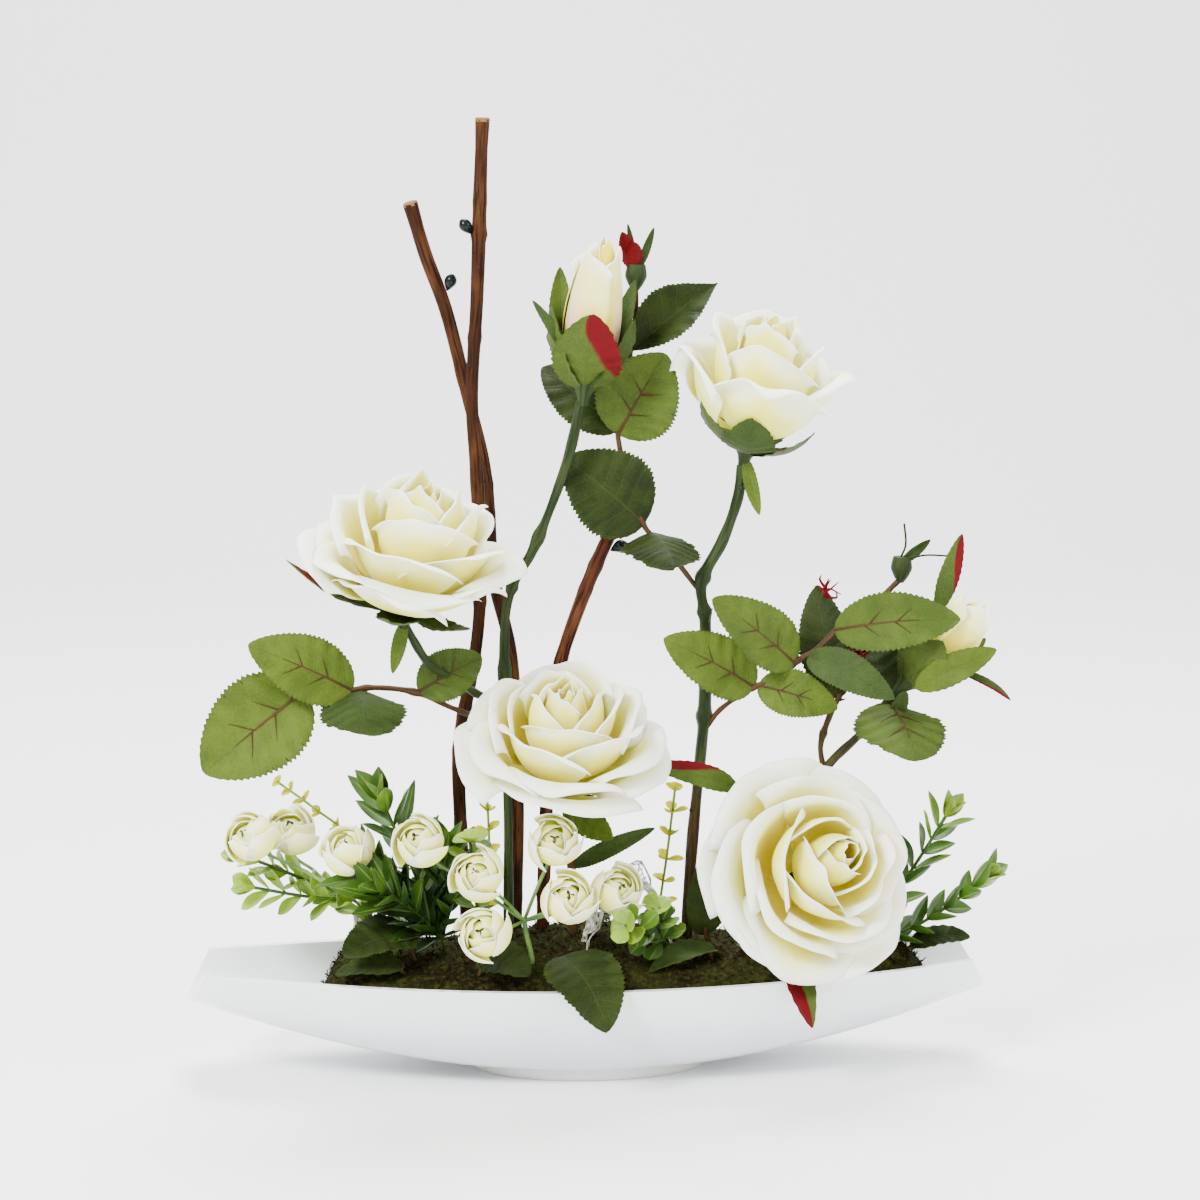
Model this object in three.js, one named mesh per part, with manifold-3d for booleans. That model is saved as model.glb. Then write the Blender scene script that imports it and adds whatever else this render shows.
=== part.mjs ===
// Low arrangement of silk roses, twigs and greenery in a white boat-shaped bowl.
// Millimetres, +Z up. The origin is the centre of the bowl's foot, which stands on z = 0.
// X runs along the bowl, and the front of the arrangement faces -Y.

import * as THREE from "three";
import { mergeVertices } from "three/addons/utils/BufferGeometryUtils.js";
import Module from "manifold-3d";

const wasm = await Module();
wasm.setup();

// Driving sizes.
const GAP = 0.35;                 // clearance between pieces that touch
const RIM_HALF_LENGTH = 188.8;    // bowl centre to the corners of its open ends
const TIP_REACH = 197.5;          // bowl centre to the lip of the spout at each end
const MID_HALF_WIDTH = 62;
const END_HALF_WIDTH = 27.2;
const MID_RIM_HEIGHT = 52.6;
const END_RIM_HEIGHT = 56.2;
const TIP_HEIGHT = 36.8;
const KEEL_HEIGHT = 3;
const KEEL_RISE = 1.9;            // power of the keel's rise towards the ends
const MID_FULLNESS = 5;           // power of the bowl's section at its middle
const END_FULLNESS = 2;
const WALL = 4;
const FLOOR = 4.5;
const FOOT_HALF_LENGTH = 58;
const FOOT_HALF_WIDTH = 33;
const FOOT_HEIGHT = 6;
const FOAM_TOP = 46;
const FOAM_LEFT = -96;
const FOAM_RIGHT = 126;
const MOSS_LEFT = -122;
const MOSS_RIGHT = 164;
const STEM_END = 20;              // how deep the stems are pushed into the foam
const LEAF_THICKNESS = 1.2;
const PETAL_THICKNESS = 1.2;

// Finishes, as colour, roughness and metalness.
const FINISHES = {
  porcelain: [0xf2f5f6, 0.12, 0],
  foam: [0x4d6b3c, 0.95, 0],
  moss: [0x2b2a16, 1, 0],
  bark: [0x6b3a22, 0.8, 0],
  bud_gloss: [0x16302a, 0.3, 0],
  petal: [0xf4efd2, 0.75, 0],
  stem: [0x4c5a3a, 0.6, 0],
  leaf: [0x4a6628, 0.65, 0],
  leaf_dark: [0x1f3d1c, 0.6, 0],
  mini_petal: [0xf1f0c8, 0.7, 0],
  mini_stem: [0x6a8f3a, 0.6, 0],
  box_leaf: [0x3e6b25, 0.55, 0],
  box_leaf_light: [0xa6bf5a, 0.6, 0],
  round_leaf: [0x6fae4c, 0.6, 0],
  blossom: [0xd9d65a, 0.7, 0],
  fibre: [0xa8aa9a, 0.7, 0],
};

const group = new THREE.Group();

const at = (x, y, z) => new THREE.Vector3(x, y, z);
const degrees = (angle) => (angle * Math.PI) / 180;

// A small repeatable random source, so that every build places the leaves alike.
function seeded(seed) {
  let state = seed;
  return (low = 0, high = 1) => {
    state = (state * 1664525 + 1013904223) % 4294967296;
    return low + ((high - low) * state) / 4294967296;
  };
}

function solidOf(geometry) {
  const bare = geometry.clone();
  bare.deleteAttribute("normal");
  bare.deleteAttribute("uv");
  const merged = mergeVertices(bare, 1e-4);
  const solid = new wasm.Manifold(new wasm.Mesh({
    numProp: 3,
    vertProperties: new Float32Array(merged.attributes.position.array),
    triVerts: new Uint32Array(merged.index.array),
  }));
  return solid;
}

function joined(solids) {
  return solids.reduce((whole, next) => whole.add(next));
}

// The outer skin of the largest body: hollows that joining has sealed are filled, and scraps are dropped.
function oneBody(solid) {
  const bodies = solid.decompose();
  bodies.sort((one, other) => other.volume() - one.volume());
  return bodies[0];
}

function place(name, joinedSolid, finish) {
  const solid = oneBody(joinedSolid);
  const mesh = solid.getMesh();
  const geometry = new THREE.BufferGeometry();
  geometry.setAttribute("position", new THREE.BufferAttribute(new Float32Array(mesh.vertProperties), 3));
  geometry.setIndex(new THREE.BufferAttribute(new Uint32Array(mesh.triVerts), 1));
  geometry.computeVertexNormals();
  const [color, roughness, metalness] = FINISHES[finish];
  const piece = new THREE.Mesh(geometry, new THREE.MeshStandardMaterial({ color, roughness, metalness }));
  piece.name = name;
  group.add(piece);
  return solid;
}

// ---- Formed surfaces ----

// Closes a grid of points, given row by row for its upper and lower face, into one solid.
function closedGrid(upper, lower, across, along) {
  const position = [];
  for (const point of [...upper, ...lower]) position.push(point.x, point.y, point.z);
  const index = [];
  const top = (row, column) => row * (across + 1) + column;
  const bottom = (row, column) => upper.length + top(row, column);
  const quad = (a, b, c, d) => index.push(a, b, c, a, c, d);
  for (let row = 0; row < along; row++) {
    for (let column = 0; column < across; column++) {
      const [a, b] = [[row, column], [row, column + 1]];
      const [d, e] = [[row + 1, column], [row + 1, column + 1]];
      quad(top(...a), top(...b), top(...e), top(...d));
      index.push(bottom(...a), bottom(...e), bottom(...b), bottom(...a), bottom(...d), bottom(...e));
    }
    quad(top(row, 0), top(row + 1, 0), bottom(row + 1, 0), bottom(row, 0));
    quad(top(row + 1, across), top(row, across), bottom(row, across), bottom(row + 1, across));
  }
  for (let column = 0; column < across; column++) {
    quad(top(0, column + 1), top(0, column), bottom(0, column), bottom(0, column + 1));
    quad(top(along, column), top(along, column + 1), bottom(along, column + 1), bottom(along, column));
  }
  const geometry = new THREE.BufferGeometry();
  geometry.setAttribute("position", new THREE.Float32BufferAttribute(position, 3));
  geometry.setIndex(index);
  return geometry;
}

// A thin blade on a formed surface: full thickness inside its outline, and a knife edge all round.
// edge(row) narrows the rows that are notches between teeth. Both faces are split alike.
function blade(surface, across, along, thickness, edge = () => 1) {
  const position = [];
  const upper = [];
  const lower = [];
  const probe = 0.02;
  const add = (point) => position.push(point.x, point.y, point.z) / 3 - 1;
  for (let row = 0; row <= along; row++) {
    for (let column = 0; column <= across; column++) {
      const s = 0.5 + (column / across - 0.5) * edge(row);
      const t = row / along;
      const middle = surface(s, t);
      const onRim = row === 0 || row === along || column === 0 || column === across;
      if (onRim) {
        const corner = add(middle);
        upper.push(corner);
        lower.push(corner);
        continue;
      }
      const sideways = surface(s + probe, t).sub(surface(s - probe, t));
      const forwards = surface(s, t + probe).sub(surface(s, t - probe));
      const normal = sideways.cross(forwards).normalize().multiplyScalar(thickness / 2);
      upper.push(add(middle.clone().add(normal)));
      lower.push(add(middle.sub(normal)));
    }
  }
  const index = [];
  const face = (a, b, c) => {
    index.push(upper[a], upper[b], upper[c]);
    index.push(lower[a], lower[c], lower[b]);
  };
  for (let row = 0; row < along; row++) {
    for (let column = 0; column < across; column++) {
      const a = row * (across + 1) + column;
      const [b, d, e] = [a + 1, a + across + 1, a + across + 2];
      const fromCorner = column < across / 2 === row < along / 2;
      if (fromCorner) {
        face(a, b, e);
        face(a, e, d);
      } else {
        face(a, b, d);
        face(b, e, d);
      }
    }
  }
  const geometry = new THREE.BufferGeometry();
  geometry.setAttribute("position", new THREE.Float32BufferAttribute(position, 3));
  geometry.setIndex(index);
  return solidOf(geometry);
}

// A curve that is measured by its own points, so that a tube's joints fall on them.
class KnotCurve extends THREE.CatmullRomCurve3 {
  getPointAt(share, target) {
    return this.getPoint(share, target);
  }

  getTangentAt(share, target) {
    return this.getTangent(share, target);
  }
}

// A tube of a few sides through the points.
function tube(points, radius, sides = 6, stepsBetween = 1) {
  const round = new THREE.Shape();
  for (let side = 0; side < sides; side++) {
    const angle = (2 * Math.PI * side) / sides;
    const [x, y] = [radius * Math.cos(angle), radius * Math.sin(angle)];
    if (side === 0) round.moveTo(x, y);
    else round.lineTo(x, y);
  }
  round.closePath();
  const steps = (points.length - 1) * stepsBetween;
  const extrudePath = new KnotCurve(points);
  return solidOf(new THREE.ExtrudeGeometry(round, { steps, curveSegments: 1, extrudePath }));
}

// The point of a path at a share of its length, counted in its own points, and the way it runs there.
function along(path, share) {
  const place = share * (path.length - 1);
  const step = Math.min(Math.floor(place), path.length - 2);
  const point = path[step].clone().lerp(path[step + 1], place - step);
  return { point, upwards: path[step + 1].clone().sub(path[step]).normalize() };
}

// A solid of revolution from [radius, height] pairs that start and end on its axis.
function turned(profile, sides) {
  const points = profile.map(([radius, height]) => new THREE.Vector2(radius, height));
  return solidOf(new THREE.LatheGeometry(points, sides).rotateX(Math.PI / 2));
}

const UP = at(0, 0, 1);

// Stands a solid modelled on +Z at a point, with its axis along a direction.
function stand(solid, point, axis, turn = 0) {
  const upright = new THREE.Quaternion().setFromUnitVectors(UP, axis.clone().normalize());
  const spin = new THREE.Quaternion().setFromAxisAngle(UP, degrees(turn));
  const matrix = new THREE.Matrix4().compose(point, upright.multiply(spin), at(1, 1, 1));
  return solid.transform(matrix.elements);
}

// ---- Bowl ----

const bowlHalfWidth = (u) => END_HALF_WIDTH + (MID_HALF_WIDTH - END_HALF_WIDTH) * (1 - u * u);
const bowlRim = (u) => MID_RIM_HEIGHT + (END_RIM_HEIGHT - MID_RIM_HEIGHT) * u * u;
const bowlKeel = (u) => KEEL_HEIGHT + (TIP_HEIGHT - KEEL_HEIGHT) * Math.abs(u) ** KEEL_RISE;
const bowlFullness = (u) => MID_FULLNESS + (END_FULLNESS - MID_FULLNESS) * u * u;

// A point of the hull: u along it, v across it, both -1 to 1, set in from the outer face.
function hullPoint(u, v, inwards, upwards) {
  const x = u * (RIM_HALF_LENGTH + (TIP_REACH - RIM_HALF_LENGTH) * (1 - v * v));
  const y = (bowlHalfWidth(u) - inwards) * v;
  const bottom = bowlKeel(u) + upwards;
  return at(x, y, bottom + (bowlRim(u) - bottom) * Math.abs(v) ** bowlFullness(u));
}

const BOWL_STATIONS = 14;
const BOWL_RIBS = 10;

// One skin of the bowl, station by station along it and rib by rib across it.
function hullFace(inwards, upwards) {
  const face = [];
  for (let station = 0; station <= BOWL_STATIONS; station++) {
    const u = (2 * station) / BOWL_STATIONS - 1;
    for (let rib = 0; rib <= BOWL_RIBS; rib++) {
      const v = Math.sin((Math.PI / 2) * ((2 * rib) / BOWL_RIBS - 1));
      face.push(hullPoint(u, v, inwards, upwards));
    }
  }
  return face;
}

function bowl() {
  const inside = hullFace(WALL, FLOOR);
  const outside = hullFace(0, 0);
  const hull = solidOf(closedGrid(outside, inside, BOWL_RIBS, BOWL_STATIONS));
  const outline = new THREE.Shape();
  outline.absellipse(0, 0, FOOT_HALF_LENGTH, FOOT_HALF_WIDTH, 0, 2 * Math.PI);
  const form = { depth: FOOT_HEIGHT, bevelEnabled: false, curveSegments: 10 };
  return hull.add(solidOf(new THREE.ExtrudeGeometry(outline, form)));
}

// ---- Foam block and moss ----

// The room inside the bowl, with some clearance to its wall and floor, up to a lid above the rim.
function bowlRoom(clearance) {
  const inset = hullFace(WALL + clearance, FLOOR + GAP);
  const lid = inset.map((point) => at(point.x, point.y, END_RIM_HEIGHT + 10));
  return solidOf(closedGrid(inset, lid, BOWL_RIBS, BOWL_STATIONS));
}

function boxBetween(low, high) {
  const size = high.clone().sub(low);
  const middle = low.clone().add(high).multiplyScalar(0.5);
  return solidOf(new THREE.BoxGeometry(size.x, size.y, size.z).translate(middle.x, middle.y, middle.z));
}

const FOAM_CLEARANCE = 1.2;        // to the bowl's wall

function foamBlock() {
  const low = at(FOAM_LEFT, -MID_HALF_WIDTH, 0);
  const high = at(FOAM_RIGHT, MID_HALF_WIDTH, FOAM_TOP);
  return bowlRoom(FOAM_CLEARANCE).intersect(boxBetween(low, high));
}

// Half the width of the bowl's inside at a height, and the height of its inside beside its middle line.
function insideHalfWidth(u, height) {
  const bottom = bowlKeel(u) + FLOOR;
  const share = (height - bottom) / (bowlRim(u) - bottom);
  return (bowlHalfWidth(u) - WALL) * share ** (1 / bowlFullness(u));
}

function insideHeight(u, y) {
  const bottom = bowlKeel(u) + FLOOR;
  return bottom + (bowlRim(u) - bottom) * (Math.abs(y) / (bowlHalfWidth(u) - WALL)) ** bowlFullness(u);
}

const MOSS_BOTTOM = FOAM_TOP + GAP;
const MOSS_EDGE = 3.5;
const MOSS_STATIONS = 11;
const MOSS_RIBS = 4;
const MOSS_INSET = 2.5;           // from the moss to the bowl's wall
const MOSS_TAIL = 12;             // how far each end slopes on, down into the bare bowl
const TAIL_RISE = 9;              // height above the keel at which a tail's end is as wide as the bowl

function mossHeight(x, v) {
  const crown = 9 + 10 * Math.exp(-(((x - 5) / 60) ** 2));
  const lumps = 1.2 * Math.sin(x * 0.21) * Math.cos(v * 5 + x * 0.13);
  return MOSS_BOTTOM + MOSS_EDGE + (crown + lumps) * (1 - v * v) ** 0.7;
}

// The thin end of a tail of moss: it lies just above the inside of the bowl.
function mossTail(x, upper, lower) {
  const u = x / RIM_HALF_LENGTH;
  const halfWidth = insideHalfWidth(u, bowlKeel(u) + FLOOR + TAIL_RISE) - MOSS_INSET;
  for (let rib = 0; rib <= MOSS_RIBS; rib++) {
    const y = halfWidth * ((2 * rib) / MOSS_RIBS - 1);
    const bottom = insideHeight(u, y) + MOSS_INSET / 2;
    upper.push(at(x, y, bottom + MOSS_EDGE));
    lower.push(at(x, y, bottom));
  }
}

function mossMound() {
  const upper = [];
  const lower = [];
  mossTail(MOSS_LEFT - MOSS_TAIL, upper, lower);
  for (let station = 0; station <= MOSS_STATIONS; station++) {
    const share = station / MOSS_STATIONS;
    const x = MOSS_LEFT + (MOSS_RIGHT - MOSS_LEFT) * share;
    const ends = Math.sqrt(1 - 0.92 * (2 * share - 1) ** 6);
    const halfWidth = (insideHalfWidth(x / RIM_HALF_LENGTH, MOSS_BOTTOM) - MOSS_INSET) * ends;
    for (let rib = 0; rib <= MOSS_RIBS; rib++) {
      const v = (2 * rib) / MOSS_RIBS - 1;
      upper.push(at(x, halfWidth * v, mossHeight(x, v)));
      lower.push(at(x, halfWidth * v, MOSS_BOTTOM));
    }
  }
  mossTail(MOSS_RIGHT + MOSS_TAIL, upper, lower);
  return solidOf(closedGrid(lower, upper, MOSS_RIBS, MOSS_STATIONS + 2));
}

// ---- Leaves ----

const LEAF_END = 0.07;            // share of the width that is left at the base and the tip

// A leaf's surface from its base to its tip, with its face turned to a direction.
// fold lifts its halves from the midrib, and arch bows the midrib.
function leafSurface({ base, tip, face, width, fold = 0.25, arch = 0.08 }) {
  const along = tip.clone().sub(base);
  const length = along.length();
  along.normalize();
  const side = along.clone().cross(face).normalize();
  const up = side.clone().cross(along);
  return (s, t) => {
    const across = 2 * s - 1;
    const half = (width / 2) * Math.max(Math.sin(Math.PI * t ** 0.8) ** 0.65, LEAF_END);
    const lift = arch * length * Math.sin(Math.PI * t) + fold * half * Math.abs(across);
    return base.clone()
      .addScaledVector(along, length * t)
      .addScaledVector(side, half * across)
      .addScaledVector(up, lift);
  };
}

const LEAF_ROWS = 5;

function roseLeaf(shape) {
  const tooth = (row) => (row % 2 === 1 && row < LEAF_ROWS ? 0.85 : 1);
  return blade(leafSurface(shape), 2, LEAF_ROWS, LEAF_THICKNESS, tooth);
}

// A plain narrow blade, such as a sepal.
function sepal(shape) {
  return blade(leafSurface({ fold: 0.2, ...shape }), 2, 2, LEAF_THICKNESS);
}

// A small thick leaf with a six-sided outline, ridged along its middle on both faces.
function smallLeaf(base, tip, face, width) {
  const along = tip.clone().sub(base);
  const side = along.clone().cross(face).normalize().multiplyScalar(width / 2);
  const up = side.clone().cross(along).normalize().multiplyScalar(LEAF_THICKNESS / 2);
  const shoulder = (share, sign) => base.clone().addScaledVector(along, share).addScaledVector(side, sign);
  const middle = base.clone().addScaledVector(along, 0.5);
  const outline = [base, shoulder(0.35, 1), shoulder(0.7, 0.8), tip, shoulder(0.7, -0.8), shoulder(0.35, -1)];
  const position = [];
  for (const point of [...outline, middle.clone().add(up), middle.clone().sub(up)]) {
    position.push(point.x, point.y, point.z);
  }
  const index = [];
  for (let corner = 0; corner < 6; corner++) {
    const next = (corner + 1) % 6;
    index.push(corner, next, 6, next, corner, 7);
  }
  const geometry = new THREE.BufferGeometry();
  geometry.setAttribute("position", new THREE.Float32BufferAttribute(position, 3));
  geometry.setIndex(index);
  return solidOf(geometry);
}

// ---- Rose blooms ----

// A petal wraps round the bloom's axis. Its middle line runs from the root to the lip
// through two [radius, height] handles; span is half the angle that it covers.
// tuck brings one side edge inwards and the other outwards, so that it laps its neighbour.
function petalSurface({ turn, span, line, round = 0.18, cup = 0, tuck = 0.07 }) {
  const handles = line.map(([radius, height]) => new THREE.Vector2(radius, height));
  const middle = new THREE.CubicBezierCurve(...handles);
  return (s, t) => {
    const across = 2 * s - 1;
    const reach = t * (1 - round * Math.abs(across) ** 2.4);
    const point = middle.getPoint(reach);
    const spread = 0.3 + 0.7 * Math.sin((Math.PI / 2) * Math.min(1, 1.4 * reach));
    const angle = degrees(turn + span * across * spread);
    const radius = point.x * (1 + cup * across * across + tuck * across);
    return at(radius * Math.cos(angle), radius * Math.sin(angle), point.y);
  };
}

// The layers of an open rose of radius 1, from its heart outwards.
const OPEN_LAYERS = [
  {
    count: 3, first: 20, span: 70, rows: 2,
    line: [[0.1, 0.3], [0.26, 0.4], [0.25, 0.7], [0.2, 0.84]], cup: -0.1,
  },
  { count: 4, first: 65, span: 56, rows: 2, line: [[0.1, 0.22], [0.42, 0.24], [0.44, 0.62], [0.48, 0.78]] },
  { count: 5, first: 0, span: 50, line: [[0.1, 0.15], [0.52, 0.14], [0.62, 0.56], [0.82, 0.58]] },
  {
    count: 5, first: 36, span: 52, across: 3,
    line: [[0.1, 0.08], [0.54, 0.04], [0.74, 0.46], [1.03, 0.36]],
  },
];

// A half open rose stands taller, and only its outer petals bend back.
const HALF_OPEN_LAYERS = [
  {
    count: 3, first: 10, span: 70, rows: 2,
    line: [[0.1, 0.4], [0.34, 0.6], [0.34, 1.1], [0.26, 1.46]], cup: -0.1,
  },
  { count: 4, first: 50, span: 56, line: [[0.1, 0.3], [0.6, 0.36], [0.58, 1.1], [0.68, 1.34]] },
  { count: 5, first: 20, span: 52, across: 3, line: [[0.1, 0.14], [0.86, 0.2], [0.72, 0.9], [1.04, 0.92]] },
];

const BUD_LAYERS = [
  { count: 3, first: 0, span: 66, line: [[0.25, 0.3], [1.25, 0.7], [1.1, 2.6], [0.62, 3.7]], round: 0.3 },
];

const HEART = [[0, 0.04], [0.15, 0.06], [0.16, 0.3], [0.13, 0.62], [0, 0.72]];
const HEART_SIDES = 6;
const BUD_HEART = [[0, 0.1], [0.5, 0.2], [0.85, 1.2], [0.8, 2.4], [0.35, 3.6], [0, 3.8]];

function bloom({ radius, layers, heart = HEART, depth }) {
  const scaled = ([r, z]) => [r * radius, z * radius * depth];
  const petals = [turned(heart.map(scaled), HEART_SIDES)];
  for (const { count, first, span, line, across = 2, rows = 3, ...form } of layers) {
    for (let petal = 0; petal < count; petal++) {
      const turn = first + (360 * petal) / count;
      const surface = petalSurface({ turn, span, line: line.map(scaled), ...form });
      petals.push(blade(surface, across, rows, PETAL_THICKNESS));
    }
  }
  return joined(petals);
}

const ROSES = {
  rose_left: {
    spot: at(-90, -36, 239), axis: at(0.1, -0.28, 0.95), turn: 10,
    radius: 57, layers: OPEN_LAYERS, depth: 1.35,
  },
  rose_centre: {
    spot: at(-12, -30, 151), axis: at(0.03, -0.42, 0.9), turn: 0,
    radius: 51, layers: OPEN_LAYERS, depth: 1.25,
  },
  rose_upper: {
    spot: at(78, 0, 311), axis: at(0.17, -0.22, 0.96), turn: 30,
    radius: 43, layers: HALF_OPEN_LAYERS, depth: 1.05,
  },
  rose_lower: {
    spot: at(94, -28, 99), axis: at(0.38, -0.84, 0.38), turn: 15, radius: 59, layers: OPEN_LAYERS, depth: 1,
  },
  bud_top: {
    spot: at(-2, -8, 343), axis: at(0.12, -0.05, 0.99), turn: 90, radius: 15.5,
    layers: BUD_LAYERS, heart: BUD_HEART, depth: 1.08,
  },
  bud_right: {
    spot: at(160, 0, 194), axis: at(0.66, -0.1, 0.74), turn: 40, radius: 14,
    layers: BUD_LAYERS, heart: BUD_HEART, depth: 0.95,
  },
};

const standing = (solid, rose) => stand(solid, rose.spot, rose.axis, rose.turn);

// The green cup under a bloom: the bottom of the bloom's heart sits on it.
function calyx(rose) {
  const [, heartBottom] = (rose.heart ?? HEART)[0];
  const top = heartBottom * rose.radius * rose.depth - GAP;
  const profile = [[0, -12], [2.4, -12], [3.4, -7], [7.5, top - 1.5], [0, top]];
  return standing(turned(profile, HEART_SIDES), rose);
}

// A point beside a bloom: along its axis, and outwards at an angle round the axis.
function besideBloom(rose, outwards, angle, along) {
  const upright = new THREE.Quaternion().setFromUnitVectors(UP, rose.axis.clone().normalize());
  const offset = at(outwards * Math.cos(degrees(angle)), outwards * Math.sin(degrees(angle)), along);
  return rose.spot.clone().add(offset.applyQuaternion(upright));
}

// ---- Pieces already in place, and the holes that stems make in the moss and foam ----

const placed = [mossMound()];
const holes = [];

function settle(name, solid, finish) {
  const body = place(name, solid, finish);
  placed.push(body);
  return body;
}

function boxesMeet(one, other, reach) {
  const [a, b] = [one.boundingBox(), other.boundingBox()];
  return [0, 1, 2].every((axis) => a.min[axis] < b.max[axis] + reach && b.min[axis] < a.max[axis] + reach);
}

// Whether a solid stays clear of every piece that is already in place.
function isClear(solid) {
  return placed.every((other) => !boxesMeet(solid, other, GAP) || solid.minGap(other, 2 * GAP) >= GAP);
}

// A stem's first length is straight, from its end in the foam or moss to its second point out in
// the air, and leaves a plain hole round it.
const HOLE_EASE = 0.35;

function hole(end, above, radius, sides) {
  const below = end.clone().add(end.clone().sub(above).setLength(GAP));
  const beyond = above.clone().add(above.clone().sub(end).setLength(2));
  const cornerRadius = (radius + HOLE_EASE) / Math.cos(Math.PI / sides);
  holes.push(tube([below, beyond], cornerRadius, sides));
}

function rooted(points, radius, sides = 6, holeSides = 5) {
  const [end, above, ...rest] = points;
  hole(end, above, radius, holeSides);
  const straight = [end, end.clone().lerp(above, 0.8), above];
  return tube([...straight, ...rest], radius, sides);
}

const FRONT = at(0, -1, 0.35);

const leaf = (base, tip, width, options = {}) => roseLeaf({ base, tip, width, face: FRONT, ...options });
const smallSepal = (base, tip, width, options = {}) => sepal({ base, tip, width, face: FRONT, ...options });

// ---- Branches ----

const BRANCH_RADIUS = 3.2;
const BRANCH_SIDES = 7;

const BRANCHES = {
  tall: [
    at(-60, 15, STEM_END), at(-60, 15, 66), at(-63, 18, 123), at(-63, 20, 159),
    at(-54, 20, 212), at(-52, 20, 250),
    at(-54, 20, 300), at(-56, 20, 332), at(-53, 20, 385), at(-51, 20, 440), at(-50, 20, 468),
  ],
  left: [
    at(-35, 22, STEM_END), at(-35, 22, 72), at(-34, 27, 129), at(-36, 32, 200),
    at(-45, 34, 242), at(-49, 36, 295),
    at(-57, 36, 330), at(-68, 35, 375), at(-78, 32, 403), at(-85, 30, 427),
  ],
  right: [
    at(-22, 15, STEM_END), at(-22, 15, 74), at(-21, 16, 101), at(-18, 20, 161),
    at(-13, 22, 197), at(-2, 24, 230),
    at(8, 25, 254), at(18, 25, 275),
  ],
};

// Each small bud stands out of its branch at a height, on one side, and leans up along it.
const BRANCH_BUDS = {
  tall: { height: 412, side: at(-1, -0.4, 0) },
  left: { height: 383, side: at(1, -0.4, 0) },
  right: { height: 257, side: at(1, -0.4, 0) },
};
const BRANCH_BUD = [[0, 0], [1.6, 0.8], [2.3, 3.4], [1.9, 6], [0.8, 8.6], [0, 9.4]];
const BUD_LEAN = degrees(40);
const BUD_STAND_OFF = 0.75;

function branchBud(path, { height, side }) {
  const step = path.findIndex((point) => point.z > height) - 1;
  const share = (height - path[step].z) / (path[step + 1].z - path[step].z);
  const { point, upwards } = along(path.slice(step, step + 2), share);
  const outwards = side.clone().addScaledVector(upwards, -side.dot(upwards)).normalize();
  const lean = upwards.multiplyScalar(Math.cos(BUD_LEAN)).addScaledVector(outwards, Math.sin(BUD_LEAN));
  const seat = point.addScaledVector(outwards, BRANCH_RADIUS + GAP + BUD_STAND_OFF);
  return stand(turned(BRANCH_BUD, 6), seat, lean);
}

const FLARE = BRANCH_RADIUS + 0.8;
const CUT_END = [[0, -5], [BRANCH_RADIUS, -5], [FLARE, 0], [FLARE, 1.5], [0, 1.5]];

for (const [name, points] of Object.entries(BRANCHES)) {
  const end = points[points.length - 1];
  const upwards = end.clone().sub(points[points.length - 2]);
  const cutEnd = stand(turned(CUT_END, BRANCH_SIDES), end, upwards);
  settle(`branch_${name}`, rooted(points, BRANCH_RADIUS, BRANCH_SIDES).add(cutEnd), "bark");
  settle(`branch_bud_${name}`, branchBud(points, BRANCH_BUDS[name]), "bud_gloss");
}

// ---- Blooms ----

for (const [name, rose] of Object.entries(ROSES)) {
  settle(`${name}_petals`, standing(bloom(rose), rose), "petal");
}

// ---- Rose stems, with their calyxes, sepals and leaves ----

const { rose_left: leftRose, rose_centre: centreRose, rose_upper: upperRose, rose_lower: lowerRose } = ROSES;
const { bud_top: topBud, bud_right: rightBud } = ROSES;

// Sepals that lie under an open bloom, as [angle, reach outwards, height of the tip, width].
function sepals(rose, list) {
  return list.map(([angle, reach, height, width]) => {
    const base = besideBloom(rose, 2.5, angle, -4);
    const tip = besideBloom(rose, reach, angle, height);
    return sepal({ base, tip, width, face: rose.axis, arch: -0.08 });
  });
}

// Sepals that stand up round a closed bloom, as [angle, height of the tip, width].
function cuppedSepals(rose, reach, list) {
  return list.map(([angle, height, width]) => {
    const base = besideBloom(rose, 3, angle, -4);
    const tip = besideBloom(rose, reach, angle, height);
    const face = besideBloom(rose, 10, angle, 0).sub(rose.spot);
    return sepal({ base, tip, width, face, arch: 0.14, fold: -0.2 });
  });
}

const HIP = [[0, -3], [1.5, -3], [5.5, 4], [4.5, 10], [0, 10]];

// A green seed hip, left where a bloom has gone.
const hip = (spot) => stand(turned(HIP, 6), spot, at(0.05, 0, 1));

const mainStem = [
  rooted([
    at(-40, 0, STEM_END), at(-40, 0, 72), at(-40, 3, 135), at(-41, 7, 200), at(-40, 8, 229),
    at(-35, 8, 245),
    at(-28, 4, 257), at(-16, -1, 287), at(-9, -5, 310), at(-4.2, -7.4, 333),
  ], 2.4),
  calyx(topBud),
  calyx(leftRose),
  tube([at(-40, 6, 184), at(-52, 0, 187), at(-66, -12, 198), at(-79, -24, 208), at(-91, -32.8, 229)], 2, 5),
  tube([
    at(-41, 6, 183), at(-54, -2, 178), at(-66, -10, 183), at(-86, -17, 193), at(-108, -20, 196),
    at(-125, -22, 194), at(-141, -24, 196),
  ], 1.3, 5),
  leaf(at(-139, -24, 196), at(-188, -34, 158), 46, { arch: 0.05 }),
  leaf(at(-116, -21, 195), at(-166, -28, 219), 31),
  leaf(at(-112, -20, 195), at(-110, -58, 180), 40, { face: at(0, -0.3, 1), fold: -0.3 }),
  leaf(at(-84, -17, 193), at(-53, -10, 209), 24),
  ...sepals(leftRose, [
    [200, 32, 5, 13], [262, 31, 7, 18], [330, 34, 6, 13], [60, 30, 6, 12], [130, 30, 6, 12],
  ]),
  smallSepal(at(-91, -34, 231), at(-97, -38, 206), 7),
  ...cuppedSepals(topBud, 22, [[195, 36, 20], [265, 40, 26], [330, 34, 16], [60, 40, 15], [130, 32, 17]]),
];

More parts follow.
